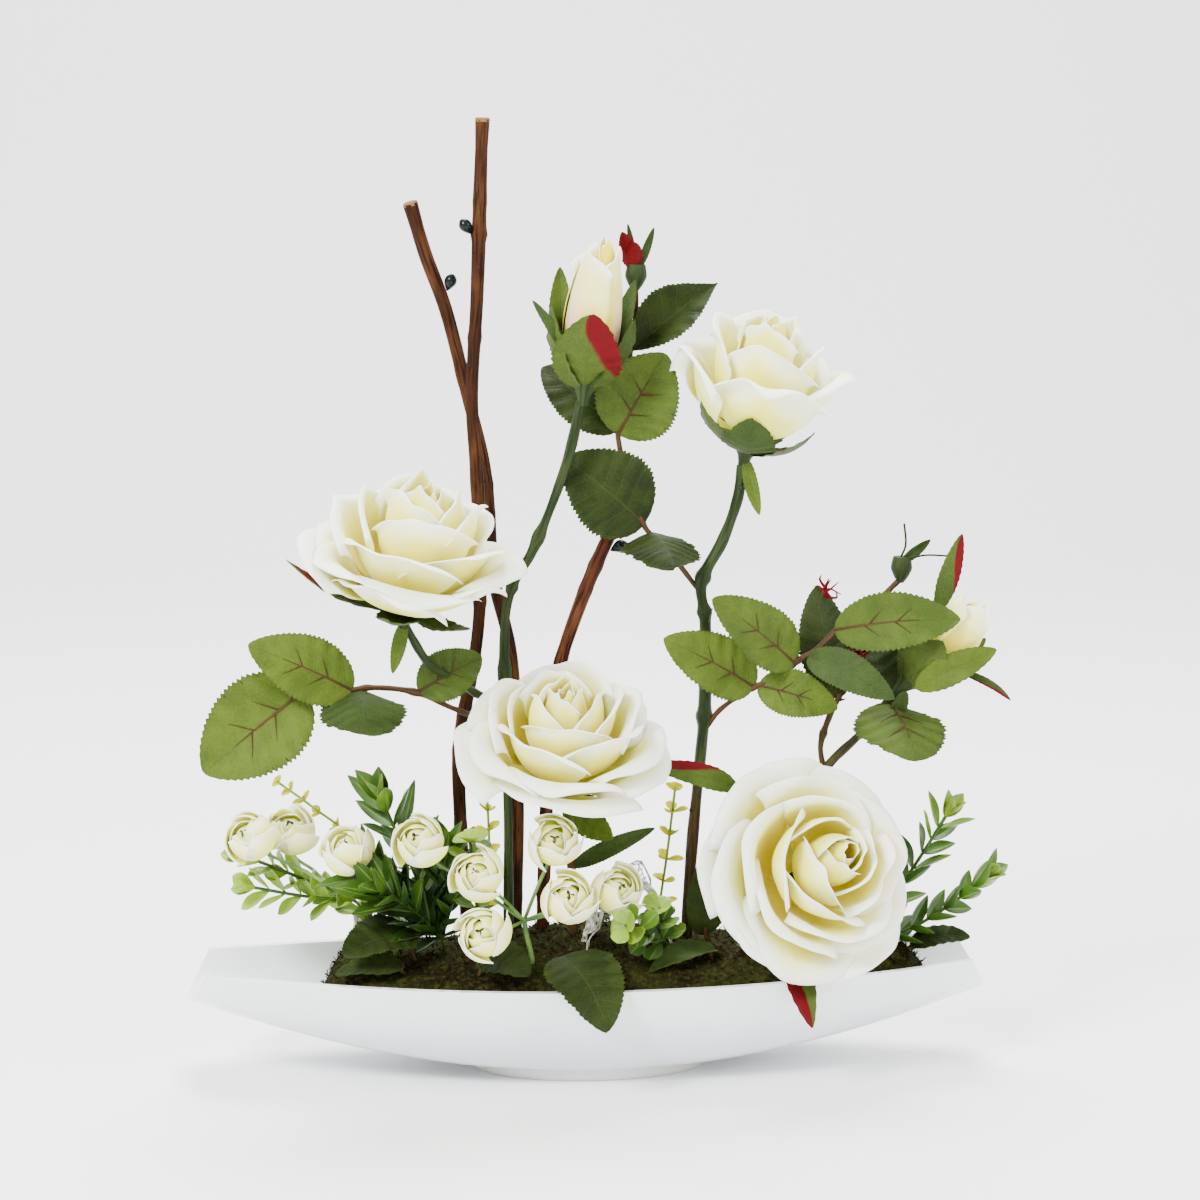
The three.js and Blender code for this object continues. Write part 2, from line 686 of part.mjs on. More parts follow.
const upperStem = [
  rooted([
    at(49, 0, STEM_END), at(49, 0, 66), at(52, 2, 113), at(56, 4, 155), at(58, 5, 180), at(58, 5, 223),
    at(56, 4, 242), at(66, 2, 263), at(73, 1, 283), at(76, 2.6, 300),
  ], 2.8),
  calyx(upperRose),
  tube([
    at(57, 5, 235), at(45, 5, 251), at(36, 5, 261), at(28, 6, 270), at(21, 8, 289), at(15, 8, 315),
    at(17, 10, 330), at(22, 13, 358),
  ], 1.3, 5),
  tube([
    at(58, 5, 168), at(66, 2, 179), at(82, 0, 190), at(95, -1, 195), at(104, -3, 204), at(112, -4, 209),
    at(124, -5, 221),
  ], 1.3, 5),
  tube([at(22, 13, 356), at(24, 14, 372), at(24, 13, 386)], 1.3, 5),
  hip(at(24, 13, 388)),
  smallSepal(at(23, 12, 396), at(17, 9, 414), 9),
  smallSepal(at(26, 13, 396), at(33, 12, 416), 4),
  leaf(at(31, 5, 267), at(40, -32, 255), 38, { face: at(0.1, -0.3, 1), fold: -0.3 }),
  leaf(at(28, 6, 271), at(-11, 7.5, 304), 42),
  leaf(at(15, 8, 315), at(38, 4, 355), 40),
  leaf(at(15, 8, 317), at(-21, 24, 347), 28),
  leaf(at(22, 12, 356), at(65, 20, 388), 25, { fold: 0.5, face: at(-0.3, -1, 0.3) }),
  leaf(at(82, 0, 190), at(36, -12, 217), 29),
  leaf(at(102, -3, 202), at(60, -14, 237), 28),
  leaf(at(84, 0, 191), at(122, -12, 181), 23),
  leaf(at(121, -5, 219), at(181, -20, 226), 28, { arch: 0.15 }),
  leaf(at(108, -4, 206), at(148, -26, 188), 19, { arch: 0.15 }),
  ...cuppedSepals(upperRose, 34, [
    [205, 18, 18], [262, 17, 24], [325, 17, 18], [50, 14, 14], [130, 14, 14],
  ]),
  smallSepal(at(77, 0, 304), at(83, -9, 277), 7),
];

const rightStem = [
  rooted([
    at(112, 4, STEM_END), at(112, 4, 66), at(115, 4, 106), at(117, 3, 142), at(120, 3, 150),
    at(135, 2, 165),
    at(148, 2, 180), at(153, 1.2, 186),
  ], 2.2),
  calyx(rightBud),
  tube([
    at(118, 3.5, 145), at(116, 5, 159), at(121, 8, 174), at(128, 11, 187), at(135, 14, 206),
    at(141, 16, 221),
    at(151, 16, 235), at(157, 16, 241),
  ], 1.5, 5),
  hip(at(157, 16, 242)),
  smallSepal(at(155, 16, 250), at(151, 14, 270), 4),
  smallSepal(at(159, 16, 250), at(170, 12, 260), 4),
  smallSepal(at(158, 14, 250), at(160, 8, 270), 4),
  leaf(at(125.3, 9.8, 182), at(116, 26, 236), 26, { face: at(-0.3, -1, 0.2) }),
  leaf(at(150, 1, 182), at(140, 30, 214), 31),
  leaf(at(150, 1, 181), at(158, -32, 158), 46, { face: at(0.2, -0.5, 1), fold: -0.2 }),
  ...cuppedSepals(rightBud, 20, [[180, 26, 16], [255, 26, 22], [320, 34, 16], [30, 38, 14], [100, 28, 14]]),
  smallSepal(at(157, -4, 188), at(147, -10, 164), 8),
];

const centreStem = [
  rooted([at(-8, -8, STEM_END), at(-8, -8, 72), at(-10, -16, 112), at(-12.4, -24.9, 141)], 2.2),
  calyx(centreRose),
  leaf(at(-9, -14, 104), at(31, -20, 124), 9, { face: at(-0.3, -1, 0.3) }),
  ...sepals(centreRose, [
    [215, 32, 4, 12], [300, 29, 4, 15], [350, 30, 4, 12], [70, 28, 4, 12], [140, 28, 4, 12],
  ]),
];

const lowerStem = [
  rooted([at(80, 4, STEM_END), at(80, 4, 68), at(83, -4, 84), at(89.4, -17.9, 94.4)], 2.2),
  calyx(lowerRose),
  ...sepals(lowerRose, [[150, 40, 3, 13], [200, 34, 3, 12], [20, 32, 3, 12], [80, 32, 3, 12]]),
  smallSepal(at(91.5, -22.3, 95.5), at(103, -70, 37), 12, { face: at(0, -1, 0.2), arch: -0.04 }),
];

const GREENS = {
  main_stem: mainStem,
  upper_stem: upperStem,
  right_stem: rightStem,
  centre_stem: centreStem,
  lower_stem: lowerStem,
};
for (const [name, parts] of Object.entries(GREENS)) settle(name, joined(parts), "stem");

// ---- Bowl ----

settle("bowl", bowl(), "porcelain");

// ---- Base leaves, each on a short stalk that is stuck in the moss ----

const BASE_LEAVES = {
  left: { stalk: at(-84, -16, 49), base: at(-87, -20, 73), tip: at(-122, -40, 68), width: 30 },
  left_low: { stalk: at(-88, -30, 49), base: at(-92, -34, 60), tip: at(-126, -30, 56), width: 16 },
  front_left: { stalk: at(-58, -36, 49), base: at(-56, -40, 66), tip: at(-32, -52, 60), width: 26 },
  front: { stalk: at(-18, -36, 49), base: at(-16, -42, 66), tip: at(4, -78, 38), width: 36, arch: 0.16 },
  front_right: { stalk: at(62, -24, 49), base: at(61, -28, 64), tip: at(26, -46, 58), width: 14, fold: 0.6 },
  upright: { stalk: at(58, -10, 49), base: at(57, -12, 68), tip: at(55, -18, 108), width: 20 },
  under_rose: { stalk: at(68, -14, 49), base: at(72, -18, 64), tip: at(104, -24, 70), width: 18 },
  right: { stalk: at(150, -8, 49), base: at(160, -9, 60), tip: at(190, -10, 64), width: 16 },
  back_left: { stalk: at(-70, 28, 49), base: at(-74, 34, 62), tip: at(-98, 54, 62), width: 26 },
  back: { stalk: at(10, 34, 49), base: at(10, 40, 66), tip: at(-2, 76, 42), width: 32, arch: 0.16 },
  back_right: { stalk: at(90, 26, 49), base: at(92, 32, 62), tip: at(112, 52, 62), width: 24 },
};
const STALK_RADIUS = 1.1;

for (const [name, { stalk, base, tip, ...form }] of Object.entries(BASE_LEAVES)) {
  const shape = { base, tip, face: at(0, base.y < 20 ? -0.45 : 0.45, 1), fold: 0.2, ...form };
  const stem = rooted([stalk, leafSurface(shape)(0.5, 0.1)], STALK_RADIUS, 4, 4);
  settle(`base_leaf_${name}`, stem.add(roseLeaf(shape)), "leaf_dark");
}

// ---- Small ranunculus blooms on thin stems ----

const MINI_RADIUS = 13;
const MINI_PETALS = 3;
const MINI_NECK = 8;              // straight length of stem behind a small bloom
const MINI_CORE = [[0, -0.75], [0.66, -0.4], [0.66, 0.4], [0, 0.76]];
const MINI_PETAL = [[0.1, -0.66], [1.15, -0.75], [1.1, 0.2], [0.8, 0.62]];

function miniBloom(radius) {
  const scaled = ([r, z]) => [r * radius, z * radius];
  const petals = [turned(MINI_CORE.map(scaled), 6)];
  for (let petal = 0; petal < MINI_PETALS; petal++) {
    const turn = (360 * petal) / MINI_PETALS;
    const surface = petalSurface({ turn, span: 60, line: MINI_PETAL.map(scaled), round: 0.15, tuck: 0.1 });
    petals.push(blade(surface, 2, 2, PETAL_THICKNESS));
  }
  return joined(petals);
}

// Two groups; every stem of a group branches off one main stem.
const MINI_GROUPS = {
  left: {
    root: [at(-96, -4, 49), at(-97, -5, 66), at(-106, -8, 84), at(-128, -12, 98)],
    flowers: [
      { spot: at(-167, -18, 122), axis: at(-0.5, -0.6, 0.6) },
      { spot: at(-147, 8, 119), axis: at(-0.1, -0.5, 0.8) },
      { spot: at(-119, -22, 116), axis: at(-0.3, -0.5, 0.8) },
    ],
  },
  centre: {
    root: [at(-30, -34, 49), at(-30, -34, 62), at(-33, -34, 76), at(-34, -34, 84)],
    flowers: [
      { spot: at(-85, -42, 124), axis: at(-0.3, -0.7, 0.6) },
      { spot: at(-57, -50, 109), axis: at(-0.3, -0.8, 0.5) },
      { spot: at(-55, -62, 83), axis: at(-0.3, -0.85, 0.4) },
      { spot: at(-20, -47, 124), axis: at(0, -0.8, 0.5) },
      { spot: at(-14, -56, 98), axis: at(0.1, -0.8, 0.5) },
      { spot: at(11, -38, 97), axis: at(0.3, -0.7, 0.6) },
    ],
  },
};

for (const [side, { root, flowers }] of Object.entries(MINI_GROUPS)) {
  const stems = [rooted(root, 1.3, 5, 4)];
  const fork = root[root.length - 1];
  flowers.forEach(({ spot, axis }, number) => {
    settle(`mini_bloom_${side}_${number + 1}`, stand(miniBloom(MINI_RADIUS), spot, axis), "mini_petal");
    const back = axis.clone().normalize();
    const [[, coreBottom]] = MINI_CORE;
    const end = spot.clone().addScaledVector(back, coreBottom * MINI_RADIUS - GAP);
    const before = end.clone().addScaledVector(back, -MINI_NECK);
    const inFork = fork.clone().add(at(0, 0, -2));
    stems.push(tube([inFork, fork.clone().lerp(before, 0.5), before, end], 0.9, 4));
  });
  settle(`mini_stems_${side}`, joined(stems), "mini_stem");
}

// ---- Arches of open fibre net, stuck in the moss at both ends ----

const NETS = {
  centre: { from: at(-2, -14, 49), to: at(34, -14, 49), rise: 44, width: 12 },
  left: { from: at(-113, 16, 49), to: at(-90, 16, 49), rise: 40, width: 9 },
};
const WIRE = 0.6;
const NET_STEPS = 5;

function netArch({ from, to, rise, width }) {
  const across = to.clone().sub(from).cross(UP).normalize();
  const rail = (offset) => {
    const points = [];
    for (let step = 0; step <= NET_STEPS; step++) {
      const share = step / NET_STEPS;
      const point = from.clone().lerp(to, share).addScaledVector(across, offset);
      points.push(point.add(at(0, 0, rise * Math.sin(Math.PI * share) ** 0.7)));
    }
    return points;
  };
  const rails = [rail(-width / 2), rail(width / 2)];
  const wires = rails.map((points) => tube(points, WIRE, 4));
  for (const points of rails) {
    hole(points[0], points[1], WIRE, 4);
    hole(points[NET_STEPS], points[NET_STEPS - 1], WIRE, 4);
  }
  for (let step = 1; step < NET_STEPS - 1; step++) {
    wires.push(tube([rails[step % 2][step], rails[(step + 1) % 2][step + 1]], WIRE, 4));
  }
  return joined(wires);
}
for (const [name, form] of Object.entries(NETS)) settle(`fibre_net_${name}`, netArch(form), "fibre");

// ---- Leafy sprays ----

const END_LEAN = 1.6;             // how far the last two leaves of a stem lean along it
const PAIR_LEAN = 0.8;
const TURNS_TRIED = [0, 45, 90, 135];

// Pairs of small leaves up each stem of a spray. A leaf that would touch another piece is turned
// further round its stem, and is left off where there is no room for it at all.
function spray(name, { stems, length, width, spacing, finish, seed, radius = 1 }) {
  const random = seeded(seed);
  const parts = [];
  stems.forEach((path, number) => {
    parts.push(number === 0 ? rooted(path, radius, 4, 4) : tube(path, radius * 0.8, 4));
    const leafy = number === 0 ? path.slice(1) : path;
    const pairs = Math.floor(new THREE.CatmullRomCurve3(leafy).getLength() / spacing);
    for (let pair = 0; pair <= pairs; pair++) {
      const share = 1 - pair / (pairs + 0.6);
      const { point: base, upwards } = along(leafy, Math.min(share, 0.98));
      const sideways = at(random(-1, 1), random(-1, 1), random(-1, 1)).cross(upwards).normalize();
      for (const halfTurn of [0, 180]) {
        const tries = TURNS_TRIED.map((turn) => {
          const outwards = sideways.clone().applyAxisAngle(upwards, degrees(halfTurn + turn));
          const lean = pair === 0 ? END_LEAN : PAIR_LEAN;
          const direction = outwards.clone().addScaledVector(upwards, lean).normalize();
          const root = base.clone().addScaledVector(outwards, 0.2 * radius);
          const tip = root.clone().addScaledVector(direction, length * random(0.85, 1.15));
          const face = upwards.clone().addScaledVector(outwards, -0.6).add(FRONT);
          return smallLeaf(root, tip, face, width);
        });
        const fitting = tries.find(isClear);
        if (fitting) parts.push(fitting);
      }
    }
  });
  settle(name, joined(parts), finish);
}

const SPRAYS = {
  box_spray_left: {
    stems: [
      [at(-72, -4, 49), at(-73, -6, 66), at(-84, -12, 95), at(-103, -20, 142)],
      [at(-73, -6, 66), at(-95, -15, 92), at(-113, -18, 106)],
      [at(-73, -6, 66), at(-70, -14, 88), at(-72, -16, 110)],
      [at(-73, -6, 66), at(-90, -24, 88), at(-104, -32, 98)],
    ],
    length: 21, width: 10, spacing: 27, finish: "box_leaf", seed: 11,
  },
  box_spray_light: {
    stems: [
      [at(-100, 8, 49), at(-101, 8, 62), at(-116, 6, 84), at(-145, 2, 98), at(-170, -4, 110)],
      [at(-116, 6, 84), at(-140, 0, 88), at(-166, -4, 94)],
    ],
    length: 16, width: 8, spacing: 20, finish: "box_leaf_light", seed: 5,
  },
  box_spray_right_upper: {
    stems: [[at(142, 4, 49), at(144, 4, 62), at(158, 4, 88), at(170, 2, 108), at(179, 0, 124)]],
    length: 20, width: 9, spacing: 16, finish: "box_leaf", seed: 23,
  },
  box_spray_right_lower: {
    stems: [
      [at(146, -2, 49), at(148, -2, 60), at(166, -5, 70), at(184, -6, 82), at(198, -7, 94)],
    ],
    length: 19, width: 9, spacing: 15, finish: "box_leaf", seed: 31,
  },
  round_spray_centre: {
    stems: [
      [at(38, -28, 49), at(37, -29, 68), at(34, -33, 78), at(32, -36, 88)],
      [at(37, -29, 68), at(22, -44, 78), at(14, -54, 84)],
    ],
    length: 13, width: 12, spacing: 12, finish: "round_leaf", seed: 7,
  },
  round_spray_left: {
    stems: [[at(-55, -22, 49), at(-55, -22, 70), at(-58, -28, 100), at(-60, -30, 122)]],
    length: 12, width: 10, spacing: 15, finish: "round_leaf", seed: 9,
  },
  blossom_wisp_left: {
    stems: [[at(-90, 28, 49), at(-92, 28, 64), at(-114, 27, 108), at(-137, 26, 128), at(-154, 25, 141)]],
    length: 9, width: 6, spacing: 26, finish: "blossom", seed: 3, radius: 0.8,
  },
  blossom_wisp_centre: {
    stems: [[at(-50, 8, 49), at(-50, 8, 70), at(-49, 8, 110), at(-50, 8, 138)]],
    length: 9, width: 7, spacing: 18, finish: "blossom", seed: 13, radius: 0.8,
  },
  blossom_wisp_right: {
    stems: [[at(36, 12, 49), at(36, 12, 72), at(40, 10, 104), at(44, 10, 138)]],
    length: 9, width: 7, spacing: 20, finish: "blossom", seed: 17, radius: 0.8,
  },
};
for (const [name, form] of Object.entries(SPRAYS)) spray(name, form);

// ---- Foam and moss, with the holes that the stems make ----

const stemHoles = joined(holes);
place("foam_block", foamBlock().subtract(stemHoles), "foam");
place("moss_mound", mossMound().subtract(stemHoles), "moss");

export default group;
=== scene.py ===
import math
import random
import bpy
import numpy as np
from mathutils import Matrix, Vector, noise


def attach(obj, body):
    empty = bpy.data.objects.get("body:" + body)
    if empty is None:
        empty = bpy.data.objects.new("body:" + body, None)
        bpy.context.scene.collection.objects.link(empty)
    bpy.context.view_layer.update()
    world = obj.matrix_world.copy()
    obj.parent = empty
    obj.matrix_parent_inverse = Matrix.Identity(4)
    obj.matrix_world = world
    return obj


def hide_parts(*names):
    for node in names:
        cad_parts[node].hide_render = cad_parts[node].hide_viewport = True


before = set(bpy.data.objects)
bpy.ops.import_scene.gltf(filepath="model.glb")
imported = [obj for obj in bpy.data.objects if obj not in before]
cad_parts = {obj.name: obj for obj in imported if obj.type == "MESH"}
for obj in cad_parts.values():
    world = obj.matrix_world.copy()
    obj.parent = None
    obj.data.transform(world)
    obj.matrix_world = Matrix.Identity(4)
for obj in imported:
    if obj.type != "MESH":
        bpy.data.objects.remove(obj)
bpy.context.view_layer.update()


# ---- The bowl ----
# A long boat-shaped dish of white stoneware, cast in a mould and glazed all over. Its wall is thin,
# it is open in a shallow spout at each end, and it stands on an oval foot wiped free of glaze.
MM = 0.001                           # the sizes below are in millimetres
RIM_HALF_LENGTH = 188.8
SPOUT = 8.7                          # how far the lip of a spout reaches past the corners of the rim
END_HALF_WIDTH, BELLY = 27.2, 34.8   # half the width at the ends, and how much is added in the middle
RIM_HEIGHT, RIM_RISE = 52.6, 3.6
KEEL_HEIGHT, KEEL_RISE = 3, 33.8
WALL, FLOOR = 4, 4.5
RIM_ROUNDING = 1.9


def half_width(u):
    return END_HALF_WIDTH + BELLY * (1 - u * u)


def rim_height(u):
    return RIM_HEIGHT + RIM_RISE * u * u


def keel_height(u):
    return KEEL_HEIGHT + KEEL_RISE * np.abs(u) ** 1.9


def fullness(u):
    """The power of a rib's curve, from flat-bottomed in the middle to sharp at the ends."""
    return 5 - 3 * u * u


def hull(u, v, inwards=0.0, upwards=0.0):
    """Points of the bowl's skin: u along it and v across it, set in from the outer face."""
    keel = keel_height(u) + upwards
    x = u * (RIM_HALF_LENGTH + SPOUT * (1 - v * v))
    height = keel + (rim_height(u) - keel) * np.abs(v) ** fullness(u)
    return np.stack([x, (half_width(u) - inwards) * v, height], axis=-1)


def closed(upper, lower, s, t, **values):
    """A closed part between two grids of points, with its place on the sheet as UV."""
    rows, columns = upper.shape[:2]
    grid = np.arange(rows * columns).reshape(rows, columns)
    a, b, c, d = grid[:-1, :-1], grid[:-1, 1:], grid[1:, 1:], grid[1:, :-1]
    top = np.stack([a, b, c, d], axis=-1).reshape(-1, 4)
    ring = np.concatenate([grid[0], grid[1:, -1], grid[-1, -2::-1], grid[-2:0:-1, 0]])
    after = np.roll(ring, -1)
    count = rows * columns
    side = np.stack([after, ring, ring + count, after + count], axis=-1)
    faces = np.concatenate([top, top[:, ::-1] + count, side])
    points = np.concatenate([upper.reshape(-1, 3), lower.reshape(-1, 3)])
    place = np.stack([(s + 1) / 2, t], axis=-1).reshape(-1, 2)
    return {"points": points, "faces": faces.tolist(), "uv": np.concatenate([place, place]), **values}


def ring_faces(rings, sides, first=0):
    """Faces between rings of points that follow one another."""
    faces = []
    for start in range(first, first + (rings - 1) * sides, sides):
        for side in range(sides):
            one, two = start + side, start + (side + 1) % sides
            faces.append([one, two, two + sides, one + sides])
    return faces


def assemble(name, parts, finish, *nodes, slot=None, crease=50):
    """One object from its parts, in metres; it rides on the root and stands for its CAD nodes.

    tone, rank and blush are numbers that a part may carry to its material.
    """
    offset, faces = 0, []
    for part in parts:
        faces += [[corner + offset for corner in face] for face in part["faces"]]
        offset += len(part["points"])
    points = np.concatenate([part["points"] for part in parts]) * MM
    mesh = bpy.data.meshes.new(name)
    mesh.from_pydata(points.tolist(), [], faces)
    corners = np.zeros(len(mesh.loops), dtype=np.int32)
    mesh.loops.foreach_get("vertex_index", corners)
    layer = mesh.uv_layers.new(name="UVMap")
    layer.data.foreach_set("uv", np.concatenate([part["uv"] for part in parts])[corners].ravel())
    for key in ("tone", "rank", "blush"):
        values = [np.broadcast_to(part.get(key, 0.0), len(part["points"])) for part in parts]
        numbers = mesh.attributes.new(key, "FLOAT", "POINT")
        numbers.data.foreach_set("value", np.concatenate(values).astype(float))
    mesh.shade_smooth()
    mesh.set_sharp_from_angle(angle=math.radians(crease))
    mesh.materials.append(finish.material)
    piece = bpy.data.objects.new(name, mesh)
    bpy.context.collection.objects.link(piece)
    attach(piece, "root")
    if nodes:
        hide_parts(*nodes)
    return piece


class Finish:
    """A material; each method adds nodes to it and gives back an output, save for set and bump."""

    def __init__(self, name, **sockets):
        self.material = bpy.data.materials.new(name)
        self.material.use_nodes = True
        self.nodes = self.material.node_tree.nodes
        self.links = self.material.node_tree.links
        self.shader = self.nodes["Principled BSDF"]
        for socket, value in sockets.items():
            self.set(socket.replace("_", " ").title().replace("Ior", "IOR"), value)

    def feed(self, socket, value):
        if isinstance(value, bpy.types.NodeSocket):
            self.links.new(value, socket)
        elif isinstance(value, tuple) and socket.type == "RGBA":
            socket.default_value = (*value[:3], 1)
        else:
            socket.default_value = value

    def set(self, socket, value):
        self.feed(self.shader.inputs[socket], value)

    def node(self, kind, inputs, output=0, **settings):
        """The output of a new node, with values or other outputs fed into its inputs."""
        node = self.nodes.new("ShaderNode" + kind)
        for setting, value in settings.items():
            setattr(node, setting, value)
        for socket, value in inputs.items():
            self.feed(node.inputs[socket], value)
        return node.outputs[output]

    def place(self, stretch):
        """Object coordinates in metres, squeezed along each axis."""
        return self.node("Mapping", {"Vector": self.node("TexCoord", {}, "Object"), "Scale": stretch})

    def part_of(self, vector, axis):
        return self.node("SeparateXYZ", {0: vector}, axis)

    def join(self, *numbers):
        return self.node("CombineXYZ", dict(enumerate(numbers)))

    def uv(self, axis):
        """The place across a sheet, for axis 0, or along it, for axis 1, from 0 to 1."""
        return self.part_of(self.node("UVMap", {}), axis)

    def value(self, name):
        return self.node("Attribute", {}, "Fac", attribute_name=name)

    def math(self, operation, a, b=0.0):
        return self.node("Math", {0: a, 1: b}, operation=operation)

    def times(self, a, b):
        return self.math("MULTIPLY", a, b)

    def plus(self, a, b):
        return self.math("ADD", a, b)

    def sway(self, value, size):
        """A number between 0 and 1 made to vary round 0 instead."""
        return self.times(self.math("SUBTRACT", value, 0.5), size)

    def off_middle(self, value):
        return self.math("ABSOLUTE", self.math("SUBTRACT", value, 0.5))

    def ease(self, value, low, high, start=0.0, end=1.0):
        """start below low and end above high, with a smooth change between."""
        steps = dict(enumerate((value, low, high, start, end)))
        return self.node("MapRange", steps, interpolation_type="SMOOTHSTEP")

    def mix(self, share, a, b):
        return self.node("Mix", {0: share, 6: a, 7: b}, 2, data_type="RGBA")

    def fade(self, value, low, high, below, above):
        """One colour below low and another above high, with a smooth change between."""
        return self.mix(self.ease(value, low, high), below, above)

    def noise(self, scale, detail=3.0, stretch=(1, 1, 1), place=None):
        """Cloudy noise over the object, or over the coordinates given as place."""
        place = place or self.place(stretch)
        return self.node("TexNoise", {"Vector": place, "Scale": scale, "Detail": detail})

    def cells(self, scale, stretch=(1, 1, 1)):
        return self.node("TexVoronoi", {"Vector": self.place(stretch), "Scale": scale}, "Distance")

    def round(self, around, lengthwise):
        """Coordinates that run round and along a tube without a seam."""
        turn = self.times(self.uv(0), 2 * math.pi)
        circle = [self.times(self.math(wave, turn), around) for wave in ("COSINE", "SINE")]
        return self.join(*circle, self.times(self.uv(1), lengthwise))

    def bump(self, height, distance, strength=1.0):
        """Raises the surface by a height, on top of what earlier calls raised."""
        inputs = {"Strength": strength, "Distance": distance, "Height": height}
        before = self.shader.inputs["Normal"]
        if before.links:
            inputs["Normal"] = before.links[0].from_socket
        self.links.new(self.node("Bump", inputs), before)


glaze = Finish("white_glaze", coat_weight=0.5, coat_roughness=0.04, specular_ior_level=0.55)
pooled = glaze.noise(14, 4, (1, 1, 2))
# Painted shade: the glaze colour is darker and greyer low on the bowl and fades to the paler colour near the
# rim, by height above the table.
painted_shade_low_colour = glaze.fade(pooled, 0.35, 0.7, (0.50, 0.54, 0.58), (0.56, 0.60, 0.64))
high_colour = glaze.fade(pooled, 0.35, 0.7, (0.77, 0.80, 0.83), (0.83, 0.855, 0.875))
height_above_table = glaze.part_of(glaze.place((1, 1, 1)), 2)
glaze.set("Base Color", glaze.fade(height_above_table, 0.006, 0.045, painted_shade_low_colour, high_colour))
glaze.set("Roughness", glaze.ease(glaze.noise(90), 0.3, 0.7, 0.1, 0.2))
glaze.bump(glaze.noise(30, 2), 0.0004, 0.35)
glaze.bump(glaze.cells(1400), 0.00002, 0.3)

STATIONS, RIBS = 96, 56
across_bowl = np.sin(np.linspace(-math.pi / 2, math.pi / 2, RIBS + 1))
v, u = np.meshgrid(across_bowl, np.linspace(-1, 1, STATIONS + 1))
bowl = assemble("bowl_body", [closed(hull(u, v), hull(u, v, WALL, FLOOR), v, (u + 1) / 2)], glaze,
                "bowl", slot="porcelain", crease=35)
lip = bowl.modifiers.new("rounded_lip", "BEVEL")
lip.width, lip.segments = RIM_ROUNDING * MM, 4
lip.limit_method, lip.angle_limit = "ANGLE", math.radians(50)

biscuit = Finish("wiped_foot", roughness=0.75)
grit = biscuit.noise(900, 2)
biscuit.set("Base Color", biscuit.mix(grit, (0.62, 0.6, 0.56), (0.75, 0.74, 0.71)))
biscuit.bump(grit, 0.0001)

FOOT_HALF_LENGTH, FOOT_HALF_WIDTH = 58, 33
FOOT_STEPS = 96
# Each ring of the foot, from the hollow under it up into the bowl: how far it is set in, and its height.
FOOT_RINGS = [(4, 2.2), (4, 0.6), (3.4, 0), (1.4, 0), (0.6, 0.6), (0, 3), (-0.5, 6.6)]
turns = np.linspace(0, 2 * math.pi, FOOT_STEPS + 1)[:-1]
foot_points = [np.array([[0, 0, FOOT_RINGS[0][1]]])]
for inset, height in FOOT_RINGS:
    ring = [(FOOT_HALF_LENGTH - inset) * np.cos(turns), (FOOT_HALF_WIDTH - inset) * np.sin(turns)]
    foot_points.append(np.stack([*ring, np.full(FOOT_STEPS, height)], axis=-1))
foot_points = np.concatenate(foot_points)
foot_faces = [[0, 1 + (step + 1) % FOOT_STEPS, 1 + step] for step in range(FOOT_STEPS)]
foot_faces += ring_faces(len(FOOT_RINGS), FOOT_STEPS, first=1)
foot_faces.append([len(foot_points) - FOOT_STEPS + step for step in range(FOOT_STEPS)])
foot = {"points": foot_points, "faces": foot_faces, "uv": foot_points[:, :2] * 0.01}
assemble("bowl_foot", [foot], biscuit, slot="porcelain")


# ---- The foam and the moss ----
# A block of green dry foam is wedged in the bowl and holds every stem. Dark preserved moss is
# pressed over it and hides it, and slopes down to the bare inside of the bowl at both ends.
foam = Finish("dry_foam", roughness=0.95)
pores = foam.cells(1500)
foam.set("Base Color", foam.fade(pores, 0.1, 0.6, (0.03, 0.06, 0.02), (0.12, 0.2, 0.08)))
foam.bump(pores, 0.0003)
# The block keeps its solid and only gets this finish.
foam_finishes = bpy.data.objects["foam_block"].data.materials
foam_finishes.clear()
foam_finishes.append(foam.material)

MOSS_BED = 46.35                     # the top of the foam
MOSS_LEFT, MOSS_RIGHT = -136, 172
MOSS_ROWS, MOSS_COLUMNS = 181, 61
SHOOTS = 3400


def inside_half_width(x, height):
    u = x / RIM_HALF_LENGTH
    bottom = keel_height(u) + FLOOR
    share = np.clip((height - bottom) / (rim_height(u) - bottom), 0.02, 1)
    return (half_width(u) - WALL) * share ** (1 / fullness(u))


def moss_height(x, v):
    crown = 9 + 10 * np.exp(-(((x - 5) / 60) ** 2))
    lumps = 1.2 * np.sin(x * 0.21) * np.cos(v * 5 + x * 0.13)
    return MOSS_BED + 3.5 + (crown + lumps) * (1 - v * v) ** 0.7


moss = Finish("preserved_moss", roughness=1.0, specular_ior_level=0.05)
tuft = moss.noise(420, 4)
patch = moss.noise(45, 2)
dull = moss.fade(patch, 0.35, 0.65, (0.008, 0.005, 0.002), (0.012, 0.014, 0.003))
moss.set("Base Color", moss.fade(tuft, 0.4, 0.8, dull, (0.036, 0.036, 0.008)))
moss.bump(tuft, 0.0015)

share, v = np.meshgrid(np.linspace(0, 1, MOSS_ROWS), np.linspace(-1, 1, MOSS_COLUMNS), indexing="ij")
x = MOSS_LEFT + (MOSS_RIGHT - MOSS_LEFT) * share
ends = np.sqrt(np.clip(1 - (2 * share - 1) ** 6, 0, 1))
slope = np.clip((1 - np.abs(2 * share - 1)) / 0.09, 0, 1) ** 0.6
floor_height = keel_height(x / RIM_HALF_LENGTH) + FLOOR + 0.6
height = np.maximum(floor_height, moss_height(x, v) * slope + floor_height * (1 - slope))
y = (inside_half_width(x, np.maximum(height - 3, floor_height + 1)) - 1.2) * v * np.maximum(ends, 0.25)
top = np.stack([x, y, height], axis=-1)
for row in top:
    for point in row:
        point[2] += 1.6 * noise.fractal(Vector(point) * 0.11, 1.0, 2.0, 4)
bed = np.stack([x, y, np.minimum(height - 3.4, MOSS_BED)], axis=-1)
moss_pieces = [closed(bed, top, v, share)]
shoots = random.Random(4)
